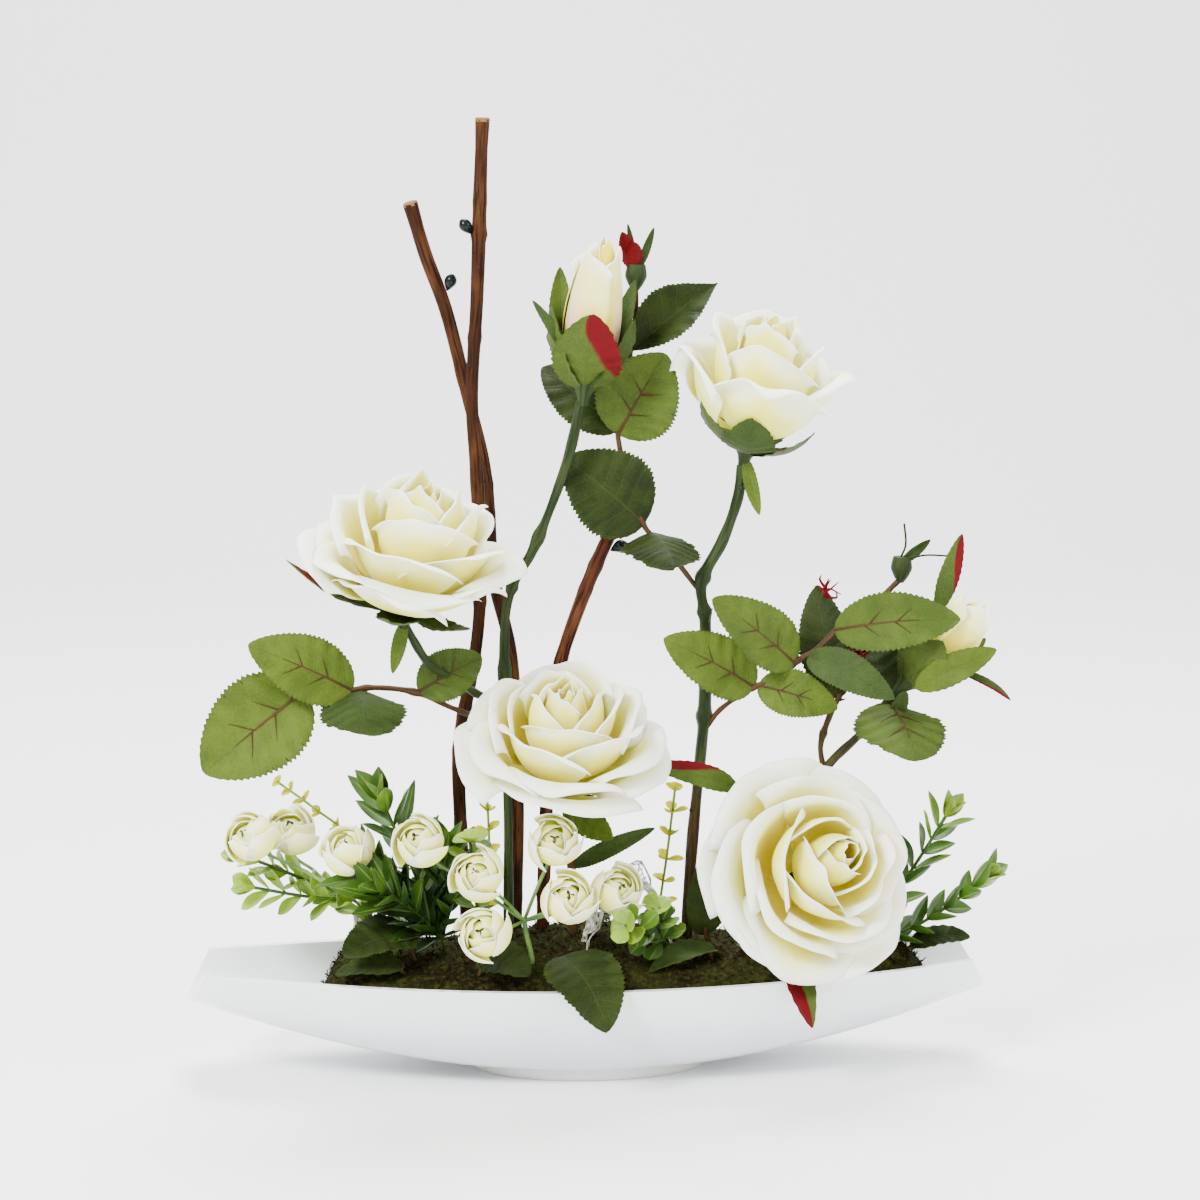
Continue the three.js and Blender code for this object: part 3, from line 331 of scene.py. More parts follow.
uniform = shoots.uniform
for _ in range(SHOOTS):
    row, column = shoots.randrange(MOSS_ROWS), shoots.randrange(MOSS_COLUMNS)
    root = top[row, column] + np.array([uniform(-1, 1), uniform(-1, 1), -0.6])
    lean = np.array([uniform(-1, 1), uniform(-1, 1), uniform(0.4, 1.3)])
    side = np.cross(lean, [uniform(-1, 1), uniform(-1, 1), 0.3])
    side *= 0.35 / (np.linalg.norm(side) + 1e-6)
    middle, tip = root + lean * 1.6, root + lean * uniform(2.4, 3.6) + np.array([0, 0, -0.8])
    points = np.array([root - side, root + side, middle + side, middle - side, tip])
    moss_pieces.append({"points": points, "faces": [[0, 1, 2, 3], [3, 2, 4]], "uv": points[:, :2] * 0.01})
assemble("moss_bed", moss_pieces, moss, "moss_mound", slot="moss", crease=180)


# ---- The branches ----
# Three bare natural twigs with thin brown bark, cut off square so that the pale wood shows. Each has
# a small glossy bead glued to it as a dormant bud. They are pushed into the foam behind the flowers.


def spline(points, per_span):
    """A smooth line through the points, with a number of steps from each to the next."""
    points = np.array(points, dtype=float)
    gaps = np.linalg.norm(np.diff(points, axis=0), axis=1)
    slopes = np.empty_like(points)
    slopes[1:-1] = (points[2:] - points[:-2]) / (gaps[1:] + gaps[:-1])[:, None]
    slopes[0], slopes[-1] = (points[1] - points[0]) / gaps[0], (points[-1] - points[-2]) / gaps[-1]
    line = []
    for number, gap in enumerate(gaps):
        t = np.linspace(0, 1, per_span, endpoint=False)[:, None]
        line.append((2 * t**3 - 3 * t**2 + 1) * points[number] + (t**3 - 2 * t**2 + t) * gap * slopes[number]
                    + (3 * t**2 - 2 * t**3) * points[number + 1] + (t**3 - t**2) * gap * slopes[number + 1])
    return np.concatenate([*line, points[-1:]])


def tube(line, radius, sides=16, flute=None, **values):
    """A round tube along a line; radius is one number or one for each point, flute shapes its section."""
    line = np.asarray(line, dtype=float)
    count = len(line)
    radius = np.broadcast_to(np.asarray(radius, dtype=float), count)
    ahead = np.gradient(line, axis=0)
    ahead /= np.linalg.norm(ahead, axis=1)[:, None]
    aside = np.cross(ahead[0], [0.3, 1, 0.1])
    turn = np.linspace(0, 2 * math.pi, sides, endpoint=False)
    length = np.concatenate([[0], np.cumsum(np.linalg.norm(np.diff(line, axis=0), axis=1))])
    points, uv = [], []
    for number in range(count):
        aside = aside - ahead[number] * aside.dot(ahead[number])
        aside /= np.linalg.norm(aside)
        upright = np.cross(ahead[number], aside)
        size = radius[number] * (np.ones(sides) if flute is None else flute(turn, length[number]))
        circle = np.cos(turn)[:, None] * aside + np.sin(turn)[:, None] * upright
        points.append(line[number] + size[:, None] * circle)
        uv.append(np.stack([turn / (2 * math.pi), np.full(sides, length[number] * 0.01)], axis=-1))
    faces = ring_faces(count, sides)
    faces += [list(range(sides))[::-1], [(count - 1) * sides + side for side in range(sides)]]
    return {"points": np.concatenate(points), "faces": faces, "uv": np.concatenate(uv), **values}


# Each branch as points from its foot in the foam to its cut end.
BRANCHES = {
    "tall": [(-60, 15, 20), (-60, 15, 66), (-63, 18, 123), (-63, 20, 159), (-54, 20, 212), (-52, 20, 250),
             (-54, 20, 300), (-56, 20, 332), (-53, 20, 385), (-51, 20, 440), (-50, 20, 468)],
    "left": [(-35, 22, 20), (-35, 22, 72), (-34, 27, 129), (-36, 32, 200), (-45, 34, 242), (-49, 36, 295),
             (-57, 36, 330), (-68, 35, 375), (-78, 32, 403), (-85, 30, 427)],
    "right": [(-22, 15, 20), (-22, 15, 74), (-21, 16, 101), (-18, 20, 161), (-13, 22, 197), (-2, 24, 230),
              (8, 25, 254), (18, 25, 275)],
}
BRANCH_RADIUS, BRANCH_SIDES = 3.2, 22
KNOTS = 9

bark = Finish("twig_bark", roughness=0.75, specular_ior_level=0.08)
streak = bark.noise(1, 4, place=bark.round(2.2, 5))
patchy = bark.noise(60, 3, (1, 1, 0.4))
brown = bark.fade(patchy, 0.35, 0.65, (0.028, 0.009, 0.003), (0.072, 0.026, 0.008))
red_brown = bark.fade(patchy, 0.35, 0.65, (0.050, 0.013, 0.005), (0.110, 0.038, 0.016))
skin = bark.mix(bark.value("blush"), brown, red_brown)
skin = bark.fade(streak, 0.36, 0.56, (0.012, 0.004, 0.002), skin)
speck = bark.ease(bark.cells(420, (1, 1, 0.6)), 0.0, 0.16, 1.0, 0.0)
bark.set("Base Color", bark.mix(bark.times(speck, 0.45), skin, (0.13, 0.065, 0.030)))
bark.bump(streak, 0.0006)
bark.bump(bark.noise(160, 3), 0.0008, 0.5)

cut_wood = Finish("cut_wood", roughness=0.8, specular_ior_level=0.1)
ring_noise = cut_wood.noise(900, 3)
cut_wood.set("Base Color", cut_wood.mix(ring_noise, (0.09, 0.042, 0.015), (0.24, 0.14, 0.06)))
cut_wood.bump(ring_noise, 0.0003)

bead = Finish("glossy_bead", specular_ior_level=0.16)
cloud = bead.noise(260, 2)
bead.set("Base Color", bead.mix(cloud, (0.0008, 0.0035, 0.0030), (0.002, 0.009, 0.008)))
bead.set("Roughness", bead.ease(cloud, 0.3, 0.7, 0.12, 0.28))

# The height at which each bead sits, and the side it is on.
BEADS = {"tall": (412, (-1, -0.4, 0)), "left": (383, (1, -0.4, 0)), "right": (257, (1, -0.4, 0))}
BEAD_LENGTH, BEAD_RADIUS, BEAD_LEAN = 9.6, 3.0, math.radians(40)


def unit(vector):
    return np.asarray(vector, dtype=float) / np.linalg.norm(vector)


for number, (name, points) in enumerate(BRANCHES.items()):
    line = spline(points, 14)
    knots = random.Random(20 + number)
    height = line[:, 2]
    girth = 1 + 0.05 * np.sin(height * 0.05 + number)
    for _ in range(KNOTS):
        where = knots.uniform(80, height[-1] - 20)
        girth = girth + knots.uniform(0.05, 0.16) * np.exp(-(((height - where) / 2.6) ** 2))
    girth[-8:] *= np.linspace(1, 1.18, 8)        # it widens a little towards the cut

    def ridges(turn, length, shift=number * 7.0):
        return 1 + 0.035 * np.sin(5 * turn + length * 0.03 + shift) + 0.03 * np.sin(9 * turn - length * 0.05)

    wood = tube(line, BRANCH_RADIUS * girth, BRANCH_SIDES, ridges, blush=1.0 if name == "right" else 0.0)
    assemble(f"twig_{name}", [wood], bark, f"branch_{name}", slot="bark", crease=70)
    ahead = unit(line[-1] - line[-2])
    end = [line[-1] - ahead * 1.0, line[-1] + ahead * 0.6, line[-1] + ahead * 1.0]
    assemble(f"twig_{name}_cut", [tube(end, [3.7, 3.6, 3.0], BRANCH_SIDES)], cut_wood, slot="bark")
    seat_height, side = BEADS[name]
    on = int(np.argmin(np.abs(height - seat_height)))
    upwards = unit(line[on + 1] - line[on])
    outwards = unit(np.array(side) - upwards * upwards.dot(side))
    lean = upwards * math.cos(BEAD_LEAN) + outwards * math.sin(BEAD_LEAN)
    seat = line[on] + outwards * (BRANCH_RADIUS + 0.7)
    steps = np.linspace(0, 1, 15)
    drop = BEAD_RADIUS * np.sin(math.pi * steps**1.35) ** 0.75 + 0.3 * (1 - steps)
    assemble(f"twig_{name}_bead", [tube(seat + lean * BEAD_LENGTH * steps[:, None], drop, 16)], bead,
             f"branch_bud_{name}", slot="bud_gloss")


# ---- The roses ----
# Four full roses and two buds of stiffened satin. Each petal is cut out, pressed to a curve and glued
# in rings round a small rolled heart, and its lip is rolled back over a hot iron. The cloth is dyed
# yellow at the root and is left ivory at the lip.

# Each bloom: where its petals are glued on, the way it faces, how far it is turned, the radius of its
# rings, how tall it is for that radius, and its kind.
ROSES = {
    "rose_left": ((-90, -36, 239), (0.1, -0.28, 0.95), 10, 54, 1.35, "open"),
    "rose_centre": ((-16, -30, 151), (0.03, -0.42, 0.9), 0, 51, 1.25, "cupped"),
    "rose_upper": ((78, 0, 311), (0.17, -0.22, 0.96), 30, 43, 1.05, "half_open"),
    "rose_lower": ((94, -28, 99), (0.38, -0.84, 0.38), 15, 56, 1.05, "open"),
    "bud_top": ((-2, -8, 343), (0.12, -0.05, 0.99), 90, 15.5, 1.2, "bud"),
    "bud_right": ((160, 0, 194), (0.66, -0.1, 0.74), 40, 16.5, 0.85, "bud"),
}
# How far the heart of a bloom is shifted from the middle of its outer petals.
HEART_SHIFT = {"rose_lower": (8, -2, 5), "rose_left": (4, 0, 0), "bud_top": (2.5, 0, 2)}
# Each ring of petals: how many, the first one's angle, half the angle that one covers, its middle line
# as [radius, height] from the root to the lip, and how far the lip is rolled, in degrees.
HEART_RINGS = [
    (3, 50, 88, [[0.05, 0.3], [0.17, 0.42], [0.16, 0.7], [0.07, 0.84]], 15),
    (3, 110, 80, [[0.08, 0.3], [0.26, 0.4], [0.25, 0.68], [0.14, 0.84]], 45),
    (3, 92, 64, [[0.1, 0.28], [0.38, 0.34], [0.38, 0.64], [0.3, 0.79]], 60),
    (4, 75, 56, [[0.1, 0.22], [0.48, 0.24], [0.5, 0.6], [0.48, 0.7]], 65),
]
RINGS = {
    "open": HEART_RINGS + [
        (5, 10, 52, [[0.1, 0.15], [0.54, 0.12], [0.6, 0.5], [0.69, 0.58]], 75),
        (5, 46, 50, [[0.1, 0.08], [0.58, 0.04], [0.68, 0.42], [0.87, 0.4]], 80),
        (5, 84, 44, [[0.1, 0.04], [0.52, 0.02], [0.72, 0.28], [0.84, 0.34]], 60),
    ],
    "cupped": HEART_RINGS + [
        (5, 14, 52, [[0.1, 0.15], [0.56, 0.12], [0.6, 0.55], [0.64, 0.66]], 75),
        (5, 50, 50, [[0.1, 0.08], [0.62, 0.04], [0.68, 0.46], [0.84, 0.46]], 80),
        (4, 80, 53, [[0.1, 0.04], [0.55, 0.02], [0.72, 0.26], [0.84, 0.3]], 65),
    ],
    "half_open": [
        (3, 40, 86, [[0.08, 0.4], [0.22, 0.6], [0.21, 1.1], [0.12, 1.4]], 15),
        (3, 100, 78, [[0.1, 0.4], [0.38, 0.6], [0.36, 1.1], [0.24, 1.36]], 45),
        (4, 50, 60, [[0.1, 0.3], [0.6, 0.36], [0.56, 1.0], [0.56, 1.2]], 60),
        (5, 20, 52, [[0.1, 0.14], [0.86, 0.2], [0.7, 0.8], [0.86, 0.9]], 80),
    ],
    "bud": [
        (3, 60, 88, [[0.1, 0.4], [0.6, 0.8], [0.5, 2.5], [0.16, 3.5]], 20),
        (3, 10, 82, [[0.25, 0.3], [1.2, 0.5], [0.86, 2.4], [0.52, 3.35]], 70),
    ],
}
LIP_START = 0.74          # the share of a petal's length at which its rolled lip starts
PETAL_CLOTH = 0.45
PETAL_ROWS, PETAL_COLUMNS = 27, 23


def sheet(grid, thickness, across, along, **values):
    """A thin closed sheet on a grid of points; its edge is thinner than the rest."""
    normal = np.cross(np.gradient(grid, axis=1), np.gradient(grid, axis=0))
    normal /= np.linalg.norm(normal, axis=2)[..., None] + 1e-9
    half = np.full(grid.shape[:2], thickness / 2)
    half[[0, -1], :] *= 0.3
    half[:, [0, -1]] *= 0.3
    offset = normal * half[..., None]
    return closed(grid + offset, grid - offset, across, along, **values)


def petal(turn, span, line, roll, draws, size, rounding, tuck, lip, sharp=2.2, **values):
    """A petal round the upright axis of its bloom: pointed, with its lip and side edges turned back.

    rounding and sharp shape its outline, tuck slides one edge under the next petal, lip is the length
    of the rolled part, and the rest is as in the rings.
    """
    a, t = np.meshgrid(np.linspace(-1, 1, PETAL_COLUMNS), np.linspace(0, 1, PETAL_ROWS) ** 0.9)
    line = np.array(line) * (draws.uniform(0.97, 1.03), draws.uniform(0.96, 1.04))
    line[3] += (0, size * draws.uniform(-0.6, 0.6) * rounding * 0.2)
    seed = draws.uniform(0, 90)
    crease = [noise.noise(Vector((1.7 * side + seed, 1.5 * up, seed))) for side, up in zip(a.flat, t.flat)]
    crease = np.array(crease).reshape(a.shape)
    outline = (1 - rounding * np.abs(a) ** sharp + 0.05 * np.exp(-((a / 0.25) ** 2)) + 0.07 * crease) / 1.05
    reach = np.clip(np.minimum(t, LIP_START) / LIP_START * outline, 0, 1.03)
    k, m = reach[..., None], 1 - reach[..., None]
    body = m**3 * line[0] + 3 * m * m * k * line[1] + 3 * m * k * k * line[2] + k**3 * line[3]
    slope = m * m * (line[1] - line[0]) + 2 * m * k * (line[2] - line[1]) + k * k * (line[3] - line[2])
    heading = np.arctan2(slope[..., 1], slope[..., 0])
    bend = np.radians(roll * (0.75 + 0.5 * np.abs(a) + 0.9 * crease))
    share = np.clip((t - LIP_START) / (1 - LIP_START), 0, 1)
    lip = lip * (1 + 0.3 * np.abs(a)) * size * draws.uniform(0.75, 1.15) * (1 if roll > 30 else 0.4)
    radius = body[..., 0] + lip / bend * (np.sin(heading) - np.sin(heading - bend * share))
    height = body[..., 1] + lip / bend * (np.cos(heading - bend * share) - np.cos(heading))
    wide = 0.3 + 0.7 * np.sin(np.pi / 2 * np.minimum(1, 1.4 * reach))
    angle = np.radians(turn + draws.uniform(-9, 9) + span * a * wide * draws.uniform(0.9, 1.08))
    back = np.clip(np.abs(a) - 0.66, 0, 1) / 0.34
    radius = radius * (1 + tuck * a * wide) + 0.15 * rounding * size * back**2 * reach**2
    height = height - 0.05 * size * back**2 * reach**3
    radius = radius + size * reach * (0.028 * crease - 0.02 * np.abs(a))
    ruffle = 0.03 * np.sin(3.6 * a + seed) + 0.012 * np.sin(10 * a + 2 * seed) * share
    height = height + size * reach**3 * ruffle
    grid = np.stack([radius * np.cos(angle), radius * np.sin(angle), height], axis=-1)
    return sheet(grid, PETAL_CLOTH, a, t, tone=draws.uniform(0, 1), **values)


def stand(part, spot, axis, turn=0):
    """Sets a part modelled on the upright axis onto a spot, along an axis."""
    upright = Vector((0, 0, 1)).rotation_difference(Vector(axis)).to_matrix()
    matrix = np.array(upright @ Matrix.Rotation(math.radians(turn), 3, "Z"))
    part["points"] = part["points"] @ matrix.T + np.array(spot)
    return part


satin = Finish("satin_petal", roughness=0.6, sheen_weight=0.15, sheen_roughness=0.4, subsurface_weight=0.35,
               subsurface_scale=0.003, subsurface_radius=(1.0, 0.95, 0.6), specular_ior_level=0.2)
u, v = satin.uv(0), satin.uv(1)
depth = satin.plus(v, satin.times(satin.value("rank"), 0.24))
depth = satin.plus(depth, satin.sway(satin.noise(48, 3), 0.5))
yellow = satin.mix(satin.value("tone"), (0.74, 0.58, 0.008), (0.82, 0.70, 0.03))
cloth = satin.fade(depth, 0.42, 0.86, yellow, (0.90, 0.87, 0.20))
cloth = satin.fade(depth, 0.66, 1.04, cloth, (0.93, 0.94, 0.70))
cloth = satin.mix(satin.ease(v, 0.82, 0.98, 0.0, 0.8), cloth, (0.93, 0.95, 0.86))
green_root = satin.times(satin.ease(v, 0.1, 0.62, 1.0, 0.0), satin.ease(satin.value("rank"), 0.7, 1.0))
cloth = satin.mix(satin.times(green_root, 0.75), cloth, (0.56, 0.72, 0.08))
pink = satin.ease(satin.off_middle(u), 0.05, 0.3, 1.0, 0.0)
pink = satin.times(satin.times(pink, satin.ease(v, 0.3, 0.85, 1.0, 0.0)), satin.value("blush"))
satin.set("Base Color", satin.mix(satin.times(pink, 0.8), cloth, (0.90, 0.56, 0.44)))
weave = satin.node("TexWave", {"Vector": satin.place((1, 1, 0.8)), "Scale": 900, "Distortion": 1.5}, "Color")
satin.bump(weave, 0.00004, 0.5)
along_petal = satin.join(satin.times(u, 26.0), satin.times(v, 3.0))
satin.bump(satin.noise(1, 3, place=along_petal), 0.0007, 0.5)

for number, (name, (spot, axis, turn, size, tall, kind)) in enumerate(ROSES.items()):
    draws = random.Random(100 + number)
    is_bud = kind == "bud"
    petals = []
    for ring, (count, first, span, line, roll) in enumerate(RINGS[kind]):
        outermost = ring / (len(RINGS[kind]) - 1)
        line = [[radius * size, height * size * tall] for radius, height in line]
        shift = np.array(HEART_SHIFT.get(name, (0, 0, 0))) * (1 - outermost)
        for step in range(count):
            one = petal(first + 360 * step / count, span, line, roll, draws, size,
                        rounding=0.14 if is_bud else 0.2 + 0.2 * outermost,
                        tuck=0.12 if is_bud else 0.16 - 0.05 * outermost,
                        lip=0.05 + 0.15 * outermost**1.5, sharp=2.3 - 0.95 * outermost,
                        rank=3 * outermost - 2.5 if is_bud else outermost,
                        blush=outermost if name == "bud_top" else 0.0)
            petals.append(stand(one, np.array(spot) + shift, axis, turn))
    assemble(f"{name}_cloth", petals, satin, f"{name}_petals", slot="petal", crease=180)


# ---- The rose stems ----
# Moulded plastic stems over wire, grey-green to dark brown, with collars where the joints are pushed
# together and a few blunt thorns. Side twigs carry printed cloth leaves with a wavy toothed edge and
# a moulded brown midrib glued to the back, and green sepals with red tips close round each bloom.
FRONT = (0, -1, 0.35)     # towards the viewer and a little upwards
TOOTH = 0.075             # how far a tooth stands out, as a share of half the leaf's width
LEAF_CLOTH = 0.5
LEAF_COLUMNS = 13


def leaf(base, tip, width, face=FRONT, fold=0.25, arch=0.08, front=1.0, back=0.0, rows=48, red=0.0, seed=0,
         pointed=0.62):
    """A toothed leaf from its base to its tip, turned to a face.

    front and back are the tones of its two faces, from 0, dull, to 1, lime green. red reddens one
    edge and the tip at 1 and all of it at 2.
    """
    base, tip = np.array(base, dtype=float), np.array(tip, dtype=float)
    length = np.linalg.norm(tip - base)
    ahead = (tip - base) / length
    side = unit(np.cross(ahead, face))
    up = np.cross(side, ahead)
    phase = random.Random(seed + int(1000 * abs(base[0]) + 77 * abs(tip[2]))).uniform(0, 6.28)
    a, t = np.meshgrid(np.linspace(-1, 1, LEAF_COLUMNS), np.linspace(0, 1, rows + 1))
    half = width / 2 * np.maximum(np.sin(np.pi * t**0.8) ** pointed, 0.05)
    tooth = 1 + TOOTH * (np.arange(rows + 1) % 2)[:, None] * (np.abs(a) > 0.9)
    bulge = np.sin(np.pi * t)
    quilt = 0.022 * width * np.cos(2 * np.pi * (6.5 * t - 0.9 * np.abs(a))) * np.sqrt(np.abs(a)) * bulge
    wave = 0.035 * width * np.sin(2.6 * np.pi * t + phase + 1.3 * np.sign(a)) * a * a
    lift = arch * length * bulge + fold * half * np.abs(a) ** 1.2 + quilt + wave
    across = (half * a * tooth)[..., None]
    grid = base + ahead * (length * t)[..., None] + side * across + up * lift[..., None]
    return sheet(grid, LEAF_CLOTH, a, t, tone=np.repeat([front, back], a.size), blush=red), grid


def midrib(grid, in_front, width):
    """The moulded rib on one face of a leaf, with two pairs of short side ribs."""
    rows, middle = grid.shape[0] - 1, grid.shape[1] // 2
    normal = unit(np.cross(grid[rows // 2, middle + 1] - grid[rows // 2, middle - 1],
                           grid[rows // 2 + 2, middle] - grid[rows // 2 - 2, middle]))
    off = normal * (0.35 if in_front else -0.35)
    spine = grid[: int(rows * 0.72), middle][::3] + off
    size = 0.5 + width * 0.009
    parts = [tube(spine, np.linspace(size, 0.3 * size, len(spine)), 6, blush=1.0)]
    for row, side in ((0.26, 1), (0.3, -1), (0.5, 1), (0.54, -1)):
        start = int(rows * row)
        steps = [grid[start + 2 * step, middle + side * step] + off for step in range(4)]
        parts.append(tube(steps, np.linspace(0.6 * size, 0.15 * size, 4), 5, blush=1.0))
    return parts


green = Finish("printed_leaf")
u, v = green.uv(0), green.uv(1)
tone, red = green.value("tone"), green.value("blush")
mottle = green.noise(70, 3)
shade = green.plus(green.times(mottle, 0.6), green.times(green.noise(1100, 2), 0.4))
dull_green = green.fade(shade, 0.35, 0.65, (0.007, 0.013, 0.002), (0.018, 0.028, 0.004))
grey_green = green.fade(shade, 0.35, 0.65, (0.020, 0.036, 0.007), (0.034, 0.056, 0.012))
lime_green = green.fade(shade, 0.35, 0.65, (0.042, 0.068, 0.006), (0.070, 0.106, 0.011))
blade_colour = green.fade(tone, 0.0, 0.5, dull_green, grey_green)
blade_colour = green.fade(tone, 0.5, 1.0, blade_colour, lime_green)
away = green.off_middle(u)
slant = green.math("FRACT", green.math("SUBTRACT", green.times(v, 6.5), green.times(away, 1.8)))
side_vein = green.ease(green.off_middle(slant), 0.0, 0.07, 1.0, 0.0)
vein = green.math("MAXIMUM", green.times(side_vein, 0.5), green.ease(away, 0.0, 0.02, 1.0, 0.0))
vein_share = green.times(vein, green.ease(tone, 0.0, 0.4, 0.55, 0.18))
blade_colour = green.mix(vein_share, blade_colour, (0.030, 0.048, 0.012))
blade_colour = green.mix(green.ease(away, 0.44, 0.5, 0.0, 0.4), blade_colour, (0.026, 0.042, 0.005))
towards_tip = green.plus(green.times(v, 0.8), green.times(u, 0.9))
red_tip = green.ease(green.plus(towards_tip, green.times(mottle, 0.2)), 1.1, 1.2)
red_tip = green.times(red_tip, green.ease(red, 0.0, 0.8))
redness = green.math("MAXIMUM", red_tip, green.ease(red, 1.2, 2.0))
green.set("Base Color", green.mix(redness, blade_colour, (0.085, 0.001, 0.003)))
roughness = green.plus(green.ease(mottle, 0.3, 0.7, 0.0, 0.2), green.ease(tone, 0.0, 0.5, 0.42, 0.52))
green.set("Roughness", roughness)
green.set("Specular IOR Level", green.ease(tone, 0.0, 0.6, 0.08, 0.1))
green.bump(vein, 0.0003, 0.6)
green.bump(green.noise(700, 2), 0.0002, 0.6)

plastic = Finish("moulded_stem", specular_ior_level=0.08)
streaks = plastic.noise(1, 4, place=plastic.round(1.6, 4))
broad = plastic.noise(60, 2)
browned = plastic.plus(plastic.value("blush"), plastic.sway(broad, 0.6))
grey = plastic.fade(streaks, 0.35, 0.65, (0.009, 0.017, 0.005), (0.028, 0.042, 0.013))
brown = plastic.fade(streaks, 0.35, 0.65, (0.026, 0.012, 0.005), (0.072, 0.036, 0.016))
plastic.set("Base Color", plastic.fade(browned, 0.3, 0.75, grey, brown))
plastic.set("Roughness", plastic.ease(streaks, 0.3, 0.7, 0.4, 0.62))
plastic.bump(streaks, 0.0005, 0.7)


STEM_SIDES = 14


def stem(points, radius, brown, thorns, collars, seed):
    """A moulded stem through the points, with blunt thorns, and collars at shares of its length."""
    line = spline(points, 12)
    share = np.linspace(0, 1, len(line))
    draws = random.Random(seed)
    girth = 1 + 0.06 * np.sin(share * 23 + seed) + 0.05 * np.sin(share * 57 + 2 * seed)
    for collar in collars:
        girth = girth + 0.45 * np.exp(-(((share - collar) * len(line) / 1.6) ** 2))
    size = radius * girth

    def ridges(turn, length):
        return 1 + 0.07 * np.cos(5 * turn + length * 0.02 + seed) + 0.03 * np.sin(11 * turn)

    browner_below = np.clip((190 - line[:, 2]) / 80, 0, 0.85) * min(1, 8 * brown)
    blush = np.repeat(np.maximum(brown, browner_below), STEM_SIDES)
    parts = [tube(line, size, STEM_SIDES, ridges, blush=blush)]
    for _ in range(thorns):
        on = draws.randrange(len(line) // 4, len(line) - 4)
        ahead = unit(line[on + 1] - line[on - 1])
        way = unit(np.cross(ahead, [draws.uniform(-1, 1), draws.uniform(-1, 1), 0.2]))
        thorn = line[on] + way * radius * 0.6 + unit(way + 0.4 * ahead) * np.linspace(0, 4.2, 4)[:, None]
        parts.append(tube(thorn, [1.1, 0.8, 0.45, 0.1], 6, blush=brown))
    return parts


def beside(rose, outwards, angle, along):
    """A point beside a bloom: outwards at an angle round its axis, and along the axis."""
    spot, axis = ROSES[rose][:2]
    turn = math.radians(angle)
    place = Vector((outwards * math.cos(turn), outwards * math.sin(turn), along))
    return np.array(spot) + np.array(Vector((0, 0, 1)).rotation_difference(Vector(axis)) @ place)


def turned(profile, sides=20):
    """A part turned round the upright axis from pairs of a radius and a height."""
    return tube([(0, 0, height) for _, height in profile], [radius for radius, _ in profile], sides)


def calyx(rose):
    """The green cup under a bloom."""
    spot, axis, turn, size, tall, kind = ROSES[rose]
    top = (0.1 if kind == "bud" else 0.04) * size * tall - 0.35
    return stand(turned([(0.6, -12.2), (2.4, -12), (2.9, -9), (3.6, -6.5), (5.6, -3), (7.5, top - 1.5),
                         (6, top - 0.7), (0.4, top)]), spot, axis, turn)


def sepal(base, tip, width, face=FRONT, fold=0.3, arch=-0.1, front=0.7, back=0.8, red=0.0):
    """One sepal, made as a narrow leaf."""
    return leaf(base, tip, width, face, fold, arch, front, back, rows=24, red=red)[0]


def spread_sepals(rose, places, red=0.0):
    """Sepals under an open bloom, as angle, reach, height of the tip and width."""
    return [sepal(beside(rose, 2.5, angle, -4), beside(rose, reach, angle, height), width, ROSES[rose][1],
                  front=0.3, back=0.75, red=red) for angle, reach, height, width in places]


def cupped_sepals(rose, reach, places, red=0.0):
    """Sepals that stand up round a closed bloom, as angle, height of the tip and width."""
    parts = []
    for number, (angle, height, width) in enumerate(places):
        face = beside(rose, 10, angle, 0) - np.array(ROSES[rose][0])
        tip = beside(rose, reach, angle, height)
        parts.append(sepal(beside(rose, 3, angle, -4), tip, width, face, fold=-0.2, arch=0.14,
                           front=(0.75, 0.45, 0.9)[number % 3], red=red))
    return parts


